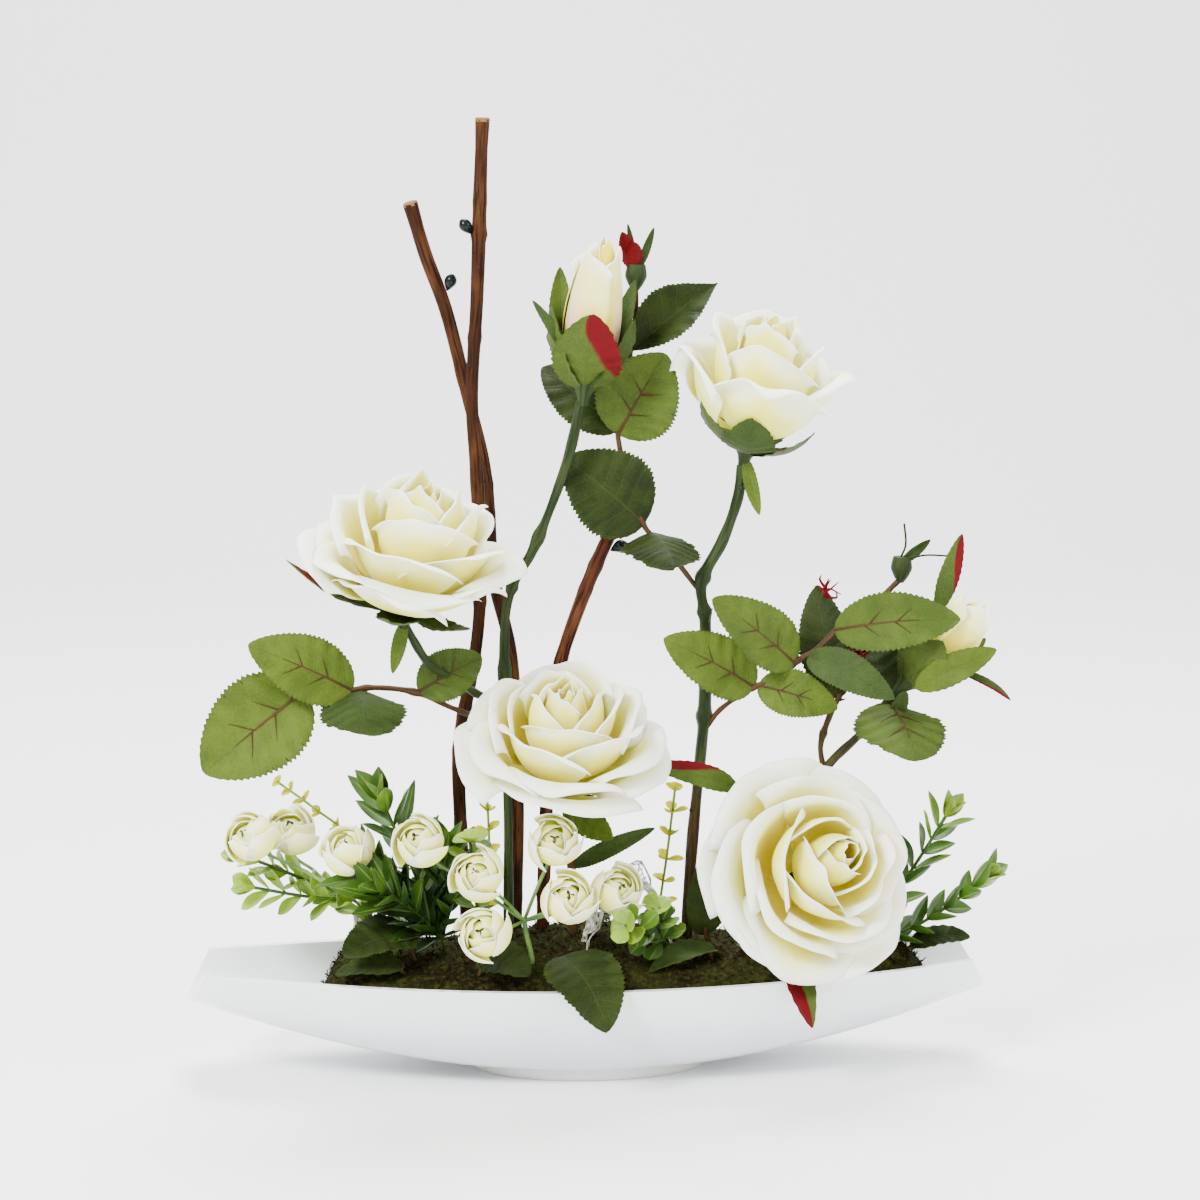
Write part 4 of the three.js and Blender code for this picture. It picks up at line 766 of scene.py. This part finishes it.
# Each stem: its twigs as points, radius, brownness, number of thorns and places of collars, the blooms
# it carries and its leaves. A leaf that shows its back has its rib in front.
STEMS = {
    "main": ([
        ([(-40, 0, 20), (-40, 0, 72), (-40, 3, 135), (-41, 7, 200), (-40, 8, 229), (-35, 8, 245),
          (-28, 4, 257), (-16, -1, 287), (-9, -5, 310), (-4.2, -7.4, 333)], 2.4, 0.0, 3,
          (0.33, 0.52, 0.7)),
        ([(-40, 6, 184), (-52, 0, 187), (-66, -12, 198), (-79, -24, 208), (-91, -32.8, 229)], 2, 0.0, 1,
          (0.15,)),
        ([(-41, 6, 183), (-54, -2, 178), (-66, -10, 183), (-86, -17, 193), (-108, -20, 196),
          (-125, -22, 194), (-141, -24, 196)], 1.3, 0.9, 0, (0.12, 0.5, 0.68)),
    ], ["bud_top", "rose_left"], [
        dict(base=(-139, -24, 196), tip=(-188, -34, 158), width=46, arch=0.05, rib_in_front=True),
        dict(base=(-116, -21, 195), tip=(-166, -28, 219), width=31, rib_in_front=True),
        dict(base=(-112, -20, 195), tip=(-110, -58, 180), width=40, face=(0, -0.3, 1), fold=-0.3,
             front=0.35, back=0.75),
        dict(base=(-84, -17, 193), tip=(-53, -10, 209), width=24, front=0.72, rib_in_front=True),
    ]),
    "upper": ([
        ([(49, 0, 20), (49, 0, 66), (52, 2, 113), (56, 4, 155), (58, 5, 180), (58, 5, 223), (56, 4, 242),
          (66, 2, 263), (73, 1, 283), (76, 2.6, 300)], 2.8, 0.1, 3, (0.42, 0.58, 0.68)),
        ([(57, 5, 235), (45, 5, 251), (36, 5, 261), (28, 6, 270), (21, 8, 289), (15, 8, 315),
          (17, 10, 330), (22, 13, 358), (24, 14, 372), (24, 13, 386)], 1.3, 0.75, 1,
          (0.22, 0.35, 0.6, 0.8)),
        ([(58, 5, 168), (66, 2, 179), (82, 0, 190), (95, -1, 195), (104, -3, 204), (112, -4, 209),
          (124, -5, 221)], 1.3, 0.85, 1, (0.33, 0.66)),
    ], ["rose_upper"], [
        dict(base=(31, 5, 267), tip=(40, -32, 255), width=38, face=(0.1, -0.3, 1), fold=-0.3, front=0.0,
             back=0.4),
        dict(base=(28, 6, 271), tip=(-11, 7.5, 304), width=42, front=0.08, back=0.6),
        dict(base=(15, 8, 315), tip=(38, 4, 355), width=40, front=0.8, rib_in_front=True),
        dict(base=(15, 8, 317), tip=(-21, 24, 347), width=28, front=0.05, back=0.6),
        dict(base=(22, 12, 356), tip=(65, 20, 388), width=25, fold=0.7, face=(-0.3, -1, 0.3), front=0.0,
             back=0.6, pointed=1.0),
        dict(base=(82, 0, 190), tip=(36, -12, 217), width=29, front=0.95, rib_in_front=True),
        dict(base=(102, -3, 202), tip=(60, -14, 237), width=28, front=0.82, rib_in_front=True),
        dict(base=(84, 0, 191), tip=(122, -12, 181), width=23, front=1.0, rib_in_front=True),
        dict(base=(121, -5, 219), tip=(181, -20, 226), width=28, arch=0.15, front=0.8, rib_in_front=True),
        dict(base=(108, -4, 206), tip=(148, -26, 188), width=19, arch=0.15, front=0.45, back=0.8),
    ]),
    "right": ([
        ([(112, 4, 20), (112, 4, 66), (115, 4, 106), (117, 3, 142), (120, 3, 150), (135, 2, 165),
          (148, 2, 180), (153, 1.2, 186)], 2.2, 0.5, 1, (0.5,)),
        ([(118, 3.5, 145), (116, 5, 159), (121, 8, 174), (128, 11, 187), (135, 14, 206), (141, 16, 221),
          (151, 16, 235), (157, 16, 241)], 1.5, 0.6, 1, (0.2, 0.6)),
    ], ["bud_right"], [
        dict(base=(125.3, 9.8, 182), tip=(116, 26, 236), width=26, face=(-0.3, -1, 0.2), front=0.0,
             back=0.6),
        dict(base=(150, 1, 182), tip=(140, 30, 214), width=31, front=0.1, back=0.6),
        dict(base=(150, 1, 181), tip=(158, -32, 158), width=46, face=(0.2, -0.5, 1), fold=-0.2,
             front=0.75, rib_in_front=True),
    ]),
    "centre": ([
        ([(-8, -8, 20), (-8, -8, 72), (-10, -16, 112), (-12.4, -24.9, 141)], 2.2, 0.2, 1, ()),
    ], ["rose_centre"], [
        dict(base=(-9, -14, 104), tip=(31, -20, 124), width=9, face=(-0.3, -1, 0.3), front=0.45),
    ]),
    "lower": ([
        ([(80, 4, 20), (80, 4, 68), (83, -4, 84), (89.4, -17.9, 94.4)], 2.2, 0.3, 0, ()),
    ], ["rose_lower"], []),
}
# The sepals of each stem, round its blooms and its hip. Two thin threads grow from the right hip.
SEPALS = {
    "main": [
        *spread_sepals("rose_left", [(188, 60, 22, 12)], red=0.8),
        *spread_sepals("rose_left", [(255, 34, 6, 20), (322, 38, 1, 14), (60, 30, 6, 12), (130, 30, 6, 12)]),
        sepal((-91, -34, 231), (-97, -38, 206), 7, front=0.95),
        *cupped_sepals("bud_top", 22, [(195, 36, 22), (330, 34, 18), (60, 40, 17), (130, 32, 18)]),
        *cupped_sepals("bud_top", 21, [(262, 35, 33)], red=0.8),
        sepal((-8, -14, 352), (-28, -16, 383), 6, front=0.5, fold=0.1, arch=0.12),
        sepal((-14, -4, 358), (-14, -4, 398), 11, front=0.8, fold=0.3, arch=0.05),
        sepal((10, -6, 352), (22, -10, 392), 9, front=0.6, fold=0.3, arch=0.1),
    ],
    "upper": [
        *cupped_sepals("rose_upper", 33, [(205, 27, 19), (262, 23, 26), (50, 14, 15), (130, 14, 15)]),
        *cupped_sepals("rose_upper", 34, [(325, 17, 19)], red=0.9),
        sepal((77, 0, 304), (83, -9, 277), 7, front=0.95),
        sepal((23, 12, 396), (17, 9, 414), 9, front=0.4, red=2.0, fold=0.6),
        sepal((24, 11, 396), (23, 7, 409), 8, front=0.4, red=2.0, fold=-0.5),
        sepal((26, 13, 396), (33, 12, 416), 4, front=0.3),
        sepal((24, 13, 400), (20, 11, 418), 3, front=0.3),
    ],
    "right": [
        *cupped_sepals("bud_right", 20, [(255, 26, 24), (320, 34, 17), (30, 38, 15), (100, 28, 15)]),
        *cupped_sepals("bud_right", 20, [(180, 26, 17)], red=1.0),
        sepal((172, -6, 228), (184, -4, 266), 10, front=0.7, red=1.15, fold=0.2, arch=0.05),
        sepal((160, -14, 191), (200, -15, 210), 15, front=1.0, fold=0.3, arch=0.16),
        sepal((180, -10, 200), (209, -8, 183), 4, front=0.6, red=1.0, arch=0.25),
        sepal((157, -4, 188), (147, -10, 164), 8, front=0.4),
        sepal((157, 15, 249), (171, 12, 261), 5, front=0.3, fold=0.5),
        tube(spline([(156, 16, 250), (159, 15, 258), (158, 14, 269)], 8), 0.55, 6),
        tube(spline([(158, 15, 250), (168, 13, 253), (180, 10, 253)], 8), 0.5, 6),
    ],
    "centre": [sepal((-14, -26, 138), (9, -38, 123), 15, (0, -1, 0.2), front=0.85)]
    + spread_sepals("rose_centre", [(300, 29, 4, 15), (350, 30, 4, 12), (70, 28, 4, 12), (140, 28, 4, 12)])
    + spread_sepals("rose_centre", [(196, 48, 14, 12)], red=1.1),
    "lower": spread_sepals("rose_lower", [(200, 34, 3, 12), (20, 32, 3, 12), (80, 32, 3, 12)])
    + spread_sepals("rose_lower", [(150, 40, 3, 13)], red=1.0)
    + [sepal((72, -17, 143), (28, -26, 157), 12, (0.1, -1, 0.5), arch=0.08, front=0.8, red=1.15)]
    + [sepal((91.5, -22.3, 95.5), (103, -72, 36), 17, (-0.3, -1, 0.5), arch=-0.04, front=0.75, red=1.15)],
}
# A rose hip as pairs of a radius and a height, and where each of the two stands.
HIP = [(0.4, -3.2), (1.5, -3), (3.6, 0), (5.3, 3.6), (5.4, 5), (4.9, 8), (4.4, 10), (0.3, 10.2)]
HIPS = {"right": (157, 16, 242), "upper": (24, 13, 388)}
# The two tufts of red shreds on the right stem: where each starts, how long its shreds are and how many.
TUFTS = [((118, 2, 236), 9, 7), ((134, -6, 206), 12, 8)]
for number, (name, (forks, roses, leaves)) in enumerate(STEMS.items()):
    twigs, blades = [], list(SEPALS[name])
    for order, fork in enumerate(forks):
        twigs += stem(*fork, seed=number * 10 + order)
    twigs += [calyx(rose) for rose in roses]
    for shape in leaves:
        rib_in_front = shape.pop("rib_in_front", False)
        blade, grid = leaf(**shape)
        blades.append(blade)
        twigs += midrib(grid, rib_in_front, shape["width"])
    if name == "right":
        uniform = random.Random(8).uniform
        for start, spread, count in TUFTS:
            for _ in range(count):
                foot = np.array(start, dtype=float) + [uniform(-2, 2) for _ in range(3)]
                away = unit((uniform(-1, 1), uniform(-0.6, 0.2), uniform(-0.1, 1.2)))
                curl = np.array([uniform(-3, 3), 0, uniform(-3, 3)])
                strip = spline([foot, foot + away * spread * 0.5 + curl, foot + away * spread], 5)
                blades.append(tube(strip, np.linspace(0.9, 0.3, len(strip)), 6, blush=2.0))
    if name in HIPS:
        twigs.append(stand(turned(HIP), HIPS[name], (0.05, 0, 1)))
    assemble(f"{name}_stem_plastic", twigs, plastic, f"{name}_stem", slot="stem", crease=60)
    assemble(f"{name}_stem_leaves", blades, green, slot="stem", crease=70)


# ---- The leaves round the foot of the arrangement ----
# Single dark cloth leaves, printed like those of the roses. Each stands on a short wire stalk that is
# pushed through the moss, and together they hide its edge all round.

# Each leaf: the foot of its stalk, its base, its tip, its width, and what sets it apart from the rest.
BASE_LEAVES = {
    "left": ((-84, -16, 49), (-87, -20, 73), (-122, -40, 68), 30, {}),
    "left_low": ((-88, -30, 49), (-92, -34, 60), (-126, -30, 56), 16, {}),
    "front_left": ((-58, -36, 49), (-56, -40, 66), (-32, -52, 60), 26, {}),
    "front": ((-18, -36, 49), (-16, -42, 66), (4, -78, 38), 36, {"arch": 0.16}),
    "front_right": ((62, -24, 49), (61, -28, 64), (26, -46, 58), 14, {"fold": 0.6, "front": 0.3}),
    "upright": ((58, -10, 49), (57, -12, 68), (55, -18, 108), 20, {"front": 0.25}),
    "under_rose": ((68, -14, 49), (72, -18, 64), (104, -24, 70), 18, {}),
    "right": ((150, -8, 49), (160, -9, 60), (190, -10, 64), 16, {}),
    "back_left": ((-70, 28, 49), (-74, 34, 62), (-98, 54, 62), 26, {}),
    "back": ((10, 34, 49), (10, 40, 66), (-2, 76, 42), 32, {"arch": 0.16}),
    "back_right": ((90, 26, 49), (92, 32, 62), (112, 52, 62), 24, {}),
}
for number, (name, (foot, base, tip, width, form)) in enumerate(BASE_LEAVES.items()):
    face = (0, -0.45 if base[1] < 20 else 0.45, 1)
    form = {"fold": 0.2, "front": 0.08 + 0.06 * (number % 3), "back": 0.3, "seed": number, **form}
    blade, grid = leaf(base, tip, width, face, **form)
    assemble(f"foot_leaf_{name}", [blade], green, f"base_leaf_{name}", slot="leaf_dark", crease=70)
    on_blade = grid[5, grid.shape[1] // 2]
    stalk = [foot, np.array(foot) * 0.5 + on_blade * 0.5, on_blade]
    assemble(f"foot_leaf_{name}_stalk", [tube(spline(stalk, 6), 1.0, 8, blush=0.8)], plastic, slot="stem")


# ---- The small ranunculus flowers ----
# Two bunches of little cream flowers of pressed cloth. Cupped petals close round a yellow-green
# centre of short threads, on thin bright green stems that fork from one wire.
MINI_RADIUS = 13
MINI_THREADS = 26
# Each bunch: its wire from the moss up to the fork, and the middle of each flower and the way it faces.
MINI_GROUPS = {
    "left": ([(-96, -4, 49), (-97, -5, 66), (-106, -8, 84), (-128, -12, 98)], [
        ((-167, -18, 122), (-0.5, -0.6, 0.6)), ((-147, 8, 119), (-0.1, -0.5, 0.8)),
        ((-119, -22, 116), (-0.3, -0.5, 0.8)),
    ]),
    "centre": ([(-30, -34, 49), (-30, -34, 62), (-33, -34, 76), (-34, -34, 84)], [
        ((-85, -42, 124), (-0.3, -0.7, 0.6)), ((-57, -50, 109), (-0.3, -0.8, 0.5)),
        ((-55, -62, 83), (-0.3, -0.85, 0.4)), ((-20, -47, 124), (0, -0.8, 0.5)),
        ((-14, -56, 98), (0.1, -0.8, 0.5)), ((11, -38, 97), (0.3, -0.7, 0.6)),
    ]),
}
# Each ring of petals as for the roses, from the inside out, without a first angle.
MINI_RINGS = [
    (3, 84, [[0.1, -0.4], [0.55, -0.35], [0.6, 0.35], [0.1, 0.5]], 12),
    (3, 74, [[0.1, -0.5], [0.82, -0.55], [0.82, 0.35], [0.3, 0.62]], 18),
    (4, 56, [[0.1, -0.6], [1.0, -0.66], [1.0, 0.25], [0.58, 0.68]], 32),
    (3, 52, [[0.1, -0.66], [1.1, -0.75], [1.14, 0.1], [0.84, 0.56]], 50),
]

cream = Finish("mini_petal_cloth", roughness=0.6, subsurface_weight=0.4, subsurface_scale=0.003,
               subsurface_radius=(1.0, 0.95, 0.6), specular_ior_level=0.2)
v = cream.uv(1)
deep = cream.plus(v, cream.times(cream.value("rank"), 0.25))
deep = cream.plus(deep, cream.sway(cream.noise(90, 3), 0.5))
hue = cream.fade(deep, 0.2, 0.7, (0.66, 0.74, 0.05), (0.92, 0.91, 0.20))
hue = cream.fade(deep, 0.68, 1.12, hue, (0.94, 0.945, 0.72))
cream.set("Base Color", cream.mix(cream.ease(v, 0.85, 1.0, 0.0, 0.6), hue, (0.92, 0.93, 0.86)))
cream.bump(cream.noise(600, 3), 0.0002, 0.6)

fresh = Finish("bright_stem", roughness=0.5)
shade = fresh.noise(110, 3)
fresh.set("Base Color", fresh.fade(shade, 0.3, 0.7, (0.040, 0.100, 0.012), (0.110, 0.210, 0.030)))
fresh.bump(fresh.noise(700, 2, (1, 1, 0.2)), 0.0002)

for number, (name, (root, flowers)) in enumerate(MINI_GROUPS.items()):
    wires = [tube(spline(root, 6), 1.3, 10)]
    fork = np.array(root[-1])
    for order, (spot, axis) in enumerate(flowers):
        draws = random.Random(300 + 20 * number + order)
        spun = draws.uniform(0, 120)
        petals = []
        for ring, (count, span, line, roll) in enumerate(MINI_RINGS):
            line = np.array(line) * MINI_RADIUS
            for step in range(count):
                turn = spun + 37 * ring + 360 * step / count
                petals.append(petal(turn, span, line, roll, draws, MINI_RADIUS, rounding=0.2 + 0.05 * ring,
                                    tuck=0.12, lip=0.12, rank=ring / 3))
        for thread in range(MINI_THREADS):
            angle, out = thread * 2.4, 0.03 * MINI_RADIUS * math.sqrt(thread)
            foot = np.array([out * math.cos(angle), out * math.sin(angle), -0.5 * MINI_RADIUS])
            petals.append(tube([foot, foot * (1.2, 1.2, 0.2), foot * (1.5, 1.5, -0.4)], [0.3, 0.3, 0.42], 5))
        assemble(f"small_flower_{name}_{order + 1}", [stand(part, spot, axis) for part in petals], cream,
                 f"mini_bloom_{name}_{order + 1}", slot="mini_petal", crease=180)
        end = np.array(spot) - unit(axis) * (0.75 * MINI_RADIUS + 0.3)
        before = end - unit(axis) * 8
        wires.append(tube(spline([fork - (0, 0, 2), fork * 0.5 + before * 0.5, before, end], 8), 0.9, 8))
        wires.append(stand(turned([(0.9, -1.4), (2.6, 0), (4.4, 2.2)], 10), end, axis))
    assemble(f"small_flower_stems_{name}", wires, fresh, f"mini_stems_{name}", slot="mini_stem")


# ---- The fibre nets ----
# Two scraps of stiff silvery sisal net, a strip of long threads with short ones laid across. They are
# crumpled into arches, and their ends are tucked into the moss.

# Each net: where its arch starts and stops, how high it rises and how wide the strip is.
NETS = {
    "centre": ((-6, -13, 49), (44, -13, 49), 50, 26),
    "left": ((-118, 14, 49), (-88, 14, 49), 42, 20),
}
LONG_THREADS, SHORT_THREADS = 13, 300
NET_STEPS = 26

sisal = Finish("silver_sisal", roughness=0.6, sheen_weight=0.3)
fleck_and_painted_shade = sisal.noise(300, 3)
# Flecks of paler and darker fibre. The dark end of the range is partly painted shade, standing in for the
# shadow among the thin threads.
sisal.set("Base Color", sisal.fade(fleck_and_painted_shade, 0.35, 0.65, (0.20, 0.20, 0.15), (0.62, 0.62, 0.56)))
sisal.bump(sisal.noise(900, 2, (1, 1, 0.3)), 0.0002)

for number, (name, (start, stop, rise, width)) in enumerate(NETS.items()):
    start, stop = np.array(start, dtype=float), np.array(stop, dtype=float)
    sideways = unit(np.cross(stop - start, (0, 0, 1)))
    uniform = random.Random(40 + number).uniform

    def crumpled(share, offset):
        point = start + (stop - start) * share + sideways * offset
        point = point + np.array([0, 0, rise * math.sin(math.pi * share) ** 0.7 if 0 < share < 1 else 0])
        place = Vector(point) * 0.11 + Vector((number * 9.0, 0, 0))
        shift = [noise.noise(place + Vector((apart, 0, 0))) for apart in (0, 31, 62)]
        return point + np.array(shift) * 6.5

    threads = []
    for strand in range(LONG_THREADS):
        offset = (strand / (LONG_THREADS - 1) - 0.5) * width * 1.25
        points = [crumpled(step / NET_STEPS, offset + 1.2 * math.sin(step * 1.1 + strand))
                  for step in range(NET_STEPS + 1)]
        threads.append(tube(points, 0.3 if strand % 5 else 0.42, 5))
    for _ in range(SHORT_THREADS):
        share, offset = uniform(0.02, 0.98), uniform(-0.6, 0.6) * width
        slant, reach = uniform(-0.14, 0.14), uniform(0.25, 0.6) * width
        inwards = -1 if offset > 0 else 1
        points = [crumpled(min(max(share + slant * step / 4, 0), 1), offset + reach * step / 4 * inwards)
                  for step in range(5)]
        threads.append(tube(points, 0.24, 4))
    assemble(f"sisal_net_{name}", threads, sisal, f"fibre_net_{name}", slot="fibre")


# ---- The leafy sprays ----
# Soft plastic sprigs of boxwood, a round-leaved succulent and a fine yellow blossom, pushed in round
# the flowers. The cupped glossy leaves sit in pairs or whorls on thin stems and are paler at the tips.
SPRIG_LEAF_THICKNESS = 0.6
SPRIG_LEAF_ROWS, SPRIG_LEAF_COLUMNS = 10, 7


def along(path, share):
    """The point at a share of a path, counted in its own points, and the way it runs there."""
    place = min(share * (len(path) - 1), len(path) - 1 - 1e-6)
    step = int(place)
    return path[step] + (path[step + 1] - path[step]) * (place - step), unit(path[step + 1] - path[step])


def little_leaf(base, tip, face, width, blunt, tone):
    """A small cupped leaf; blunt goes from 0, pointed, to 1, round."""
    length = np.linalg.norm(tip - base)
    side = unit(np.cross(tip - base, face))
    up = np.cross(side, (tip - base) / length)
    a, t = np.meshgrid(np.linspace(-1, 1, SPRIG_LEAF_COLUMNS), np.linspace(0, 1, SPRIG_LEAF_ROWS))
    half = width / 2 * np.maximum(np.sin(np.pi * t ** (0.85 + 0.9 * blunt)) ** (0.8 - 0.25 * blunt), 0.08)
    lift = (0.22 - 0.1 * blunt) * width * a * a * np.sin(np.pi * t)
    lift = lift + (0.1 * (1 - np.cos(np.pi * t * 0.6)) - 0.03) * length
    grid = base + (tip - base) * t[..., None] + side * (half * a)[..., None] + up * lift[..., None]
    return sheet(grid, SPRIG_LEAF_THICKNESS, a, t, tone=tone)


# Each spray: its stems as points, the length and width of a leaf, the gap between whorls, how blunt the
# leaves are, their tone from dark through bright green to yellow, the seed of its draws and its slot.
SPRAYS = {
    "box_spray_left": ([
        [(-72, -4, 49), (-73, -6, 66), (-84, -12, 95), (-103, -20, 142)],
        [(-73, -6, 66), (-95, -15, 92), (-113, -18, 106)],
        [(-73, -6, 66), (-70, -14, 88), (-72, -16, 110)],
        [(-73, -6, 66), (-90, -24, 88), (-104, -32, 98)],
    ], 27, 10, 6.5, 0.0, 0.08, 11, "box_leaf"),
    "box_spray_light": ([
        [(-100, 8, 49), (-101, 8, 62), (-116, 6, 84), (-145, 2, 98), (-170, -4, 110)],
        [(-116, 6, 84), (-140, 0, 88), (-166, -4, 94)],
    ], 16, 9, 8, 0.5, 0.75, 5, "box_leaf_light"),
    "box_spray_right_upper": ([
        [(142, 4, 49), (144, 4, 62), (158, 4, 88), (170, 2, 108), (179, 0, 124)],
    ], 20, 8.5, 10, 0.0, 0.3, 23, "box_leaf"),
    "box_spray_right_lower": ([
        [(146, -2, 49), (148, -2, 60), (166, -5, 70), (184, -6, 82), (198, -7, 94)],
    ], 19, 8.5, 10, 0.0, 0.25, 31, "box_leaf"),
    "round_spray_centre": ([
        [(38, -28, 49), (37, -29, 68), (34, -33, 78), (32, -36, 88)],
        [(37, -29, 68), (22, -44, 78), (14, -54, 84)],
    ], 13, 10, 8, 1.0, 0.42, 7, "round_leaf"),
    "round_spray_left": ([
        [(-55, -22, 49), (-55, -22, 70), (-58, -28, 100), (-60, -30, 122)],
    ], 13, 9.5, 10, 1.0, 0.55, 9, "round_leaf"),
    "blossom_wisp_left": ([
        [(-90, 28, 49), (-92, 28, 64), (-114, 27, 108), (-137, 26, 128), (-154, 25, 141)],
    ], 6, 4, 13, 0.5, 1.5, 3, "blossom"),
    "blossom_wisp_centre": ([
        [(-50, 8, 49), (-50, 8, 70), (-49, 8, 110), (-50, 8, 138)],
    ], 7, 5, 13, 0.5, 1.7, 13, "blossom"),
    "blossom_wisp_right": ([
        [(36, 12, 49), (36, 12, 72), (40, 10, 104), (44, 10, 138)],
    ], 8, 5.5, 12, 0.5, 1.7, 17, "blossom"),
}
gloss = Finish("sprig_leaf", roughness=0.38)
middle = gloss.off_middle(gloss.uv(0))
age = gloss.plus(gloss.value("tone"), gloss.sway(gloss.noise(80, 3), 0.5))
hue = gloss.fade(age, 0.0, 0.5, (0.009, 0.028, 0.004), (0.036, 0.090, 0.006))
hue = gloss.fade(age, 0.45, 1.0, hue, (0.22, 0.35, 0.02))
hue = gloss.fade(age, 1.3, 1.6, hue, (0.40, 0.37, 0.0))
gloss.set("Specular IOR Level", gloss.ease(age, 1.1, 1.5, 0.3, 0.02))
gloss.set("Base Color", gloss.mix(gloss.ease(middle, 0.0, 0.1, 0.45, 0.0), hue, (0.19, 0.30, 0.05)))
gloss.bump(gloss.ease(middle, 0.0, 0.14, 0.0, 1.0), 0.0004, 0.6)
gloss.bump(gloss.noise(450, 2), 0.0002, 0.5)

for name, (stems, length, width, spacing, blunt, age, seed, slot) in SPRAYS.items():
    uniform = random.Random(seed).uniform
    leaves, wires = [], []
    wisp = slot == "blossom"
    whorled = blunt == 1.0 or wisp
    for number, path in enumerate(stems):
        path = [np.array(point, dtype=float) for point in path]
        wires.append(tube(spline(path, 8), 0.7 if wisp else 0.9, 8, tone=0.8 if wisp else 0.3))
        leafy = path[1:] if number == 0 else path
        pairs = int(sum(np.linalg.norm(b - a) for a, b in zip(leafy, leafy[1:])) / spacing)
        for pair in range(pairs + 1):
            base, upwards = along(leafy, min(1 - pair / (pairs + 0.6), 0.98))
            sideways = unit(np.cross(upwards, [uniform(-1, 1) for _ in range(3)]))
            other = np.cross(upwards, sideways)
            count = 4 if pair == 0 else 3 if whorled else 2
            for step in range(count):
                turn = 2 * math.pi * step / count + uniform(-0.3, 0.3)
                outwards = sideways * math.cos(turn) + other * math.sin(turn)
                lean = uniform(1.2, 2.0) if pair == 0 else uniform(0.6, 1.1)
                lean = uniform(0.0, 0.7) if whorled else lean
                reach = length * uniform(0.75, 1.12) * (0.75 if pair == 0 else 1)
                tip = base + unit(outwards + upwards * lean) * reach
                face = upwards - 0.6 * outwards + np.array(FRONT) * 0.5
                fresh_tip = age + 0.45 * (1 - pair / (pairs + 1)) ** 2 + uniform(-0.15, 0.15)
                size = width * uniform(0.85, 1.1)
                leaves.append(little_leaf(base, tip, face, size, blunt, fresh_tip))
    assemble(f"sprig_{name}", leaves + wires, gloss, name, slot=slot, crease=70)


# ---- The floor, the light and the camera ----
# The arrangement stands on a sheet of pale paper that curves up behind it. Soft round lamps stand in
# front of it at both sides and above it. The camera stands as in the photo. Sizes here are in metres.
SWEEP_FRONT, SWEEP_BACK, SWEEP_BEND, SWEEP_TOP, SWEEP_HALF_WIDTH = -12, 1.6, 0.8, 3.2, 4
arc = [(SWEEP_FRONT, 0)]
for turn in np.linspace(0, math.pi / 2, 15):
    arc.append((SWEEP_BACK + SWEEP_BEND * math.sin(turn), SWEEP_BEND * (1 - math.cos(turn))))
arc.append((SWEEP_BACK + SWEEP_BEND, SWEEP_TOP))
corners = [(x, depth, up) for depth, up in arc for x in (-SWEEP_HALF_WIDTH, SWEEP_HALF_WIDTH)]
stage_mesh = bpy.data.meshes.new("pale_sweep")
stage_mesh.from_pydata(corners, [], [(2 * n, 2 * n + 1, 2 * n + 3, 2 * n + 2) for n in range(len(arc) - 1)])
stage_mesh.shade_smooth()
paper = Finish("pale_paper", roughness=0.85)
fibres = paper.noise(900, 2)
paper.set("Base Color", paper.mix(fibres, (0.90, 0.90, 0.90), (0.93, 0.93, 0.93)))
paper.bump(fibres, 0.0001, 0.2)
stage_mesh.materials.append(paper.material)
sweep = bpy.data.objects.new("pale_sweep", stage_mesh)
bpy.context.collection.objects.link(sweep)

world = bpy.context.scene.world or bpy.data.worlds.new("studio")
bpy.context.scene.world = world
world.use_nodes = True
surroundings = world.node_tree.nodes["Background"].inputs
surroundings["Color"].default_value = (1, 1, 1, 1)
surroundings["Strength"].default_value = 1.6

AIM = Vector((0, 0, 0.2))
for name, spot, size, power in (("key_light", (-1.3, -1.5, 1.7), 0.8, 120),
                                ("fill_light", (1.6, -1.2, 1.0), 1.2, 30),
                                ("top_light", (0.1, 0.6, 2.0), 1.0, 90)):
    light = bpy.data.lights.new(name, "AREA")
    light.shape, light.size, light.energy = "DISK", size, power
    lamp = bpy.data.objects.new(name, light)
    lamp.location = spot
    lamp.rotation_euler = (AIM - Vector(spot)).to_track_quat("-Z", "Y").to_euler()
    bpy.context.collection.objects.link(lamp)

lens = bpy.data.cameras.new("photo_lens")
lens.lens, lens.sensor_width = 111.45, 36
camera = bpy.data.objects.new("photo_camera", lens)
camera.location = (-0.12807, -1.79544, 0.520)
azimuth, pitch = math.radians(4.26), math.radians(9.01)
ahead = Vector((math.sin(azimuth) * math.cos(pitch), math.cos(azimuth) * math.cos(pitch), -math.sin(pitch)))
camera.rotation_euler = ahead.to_track_quat("-Z", "Y").to_euler()
bpy.context.collection.objects.link(camera)
bpy.context.scene.camera = camera
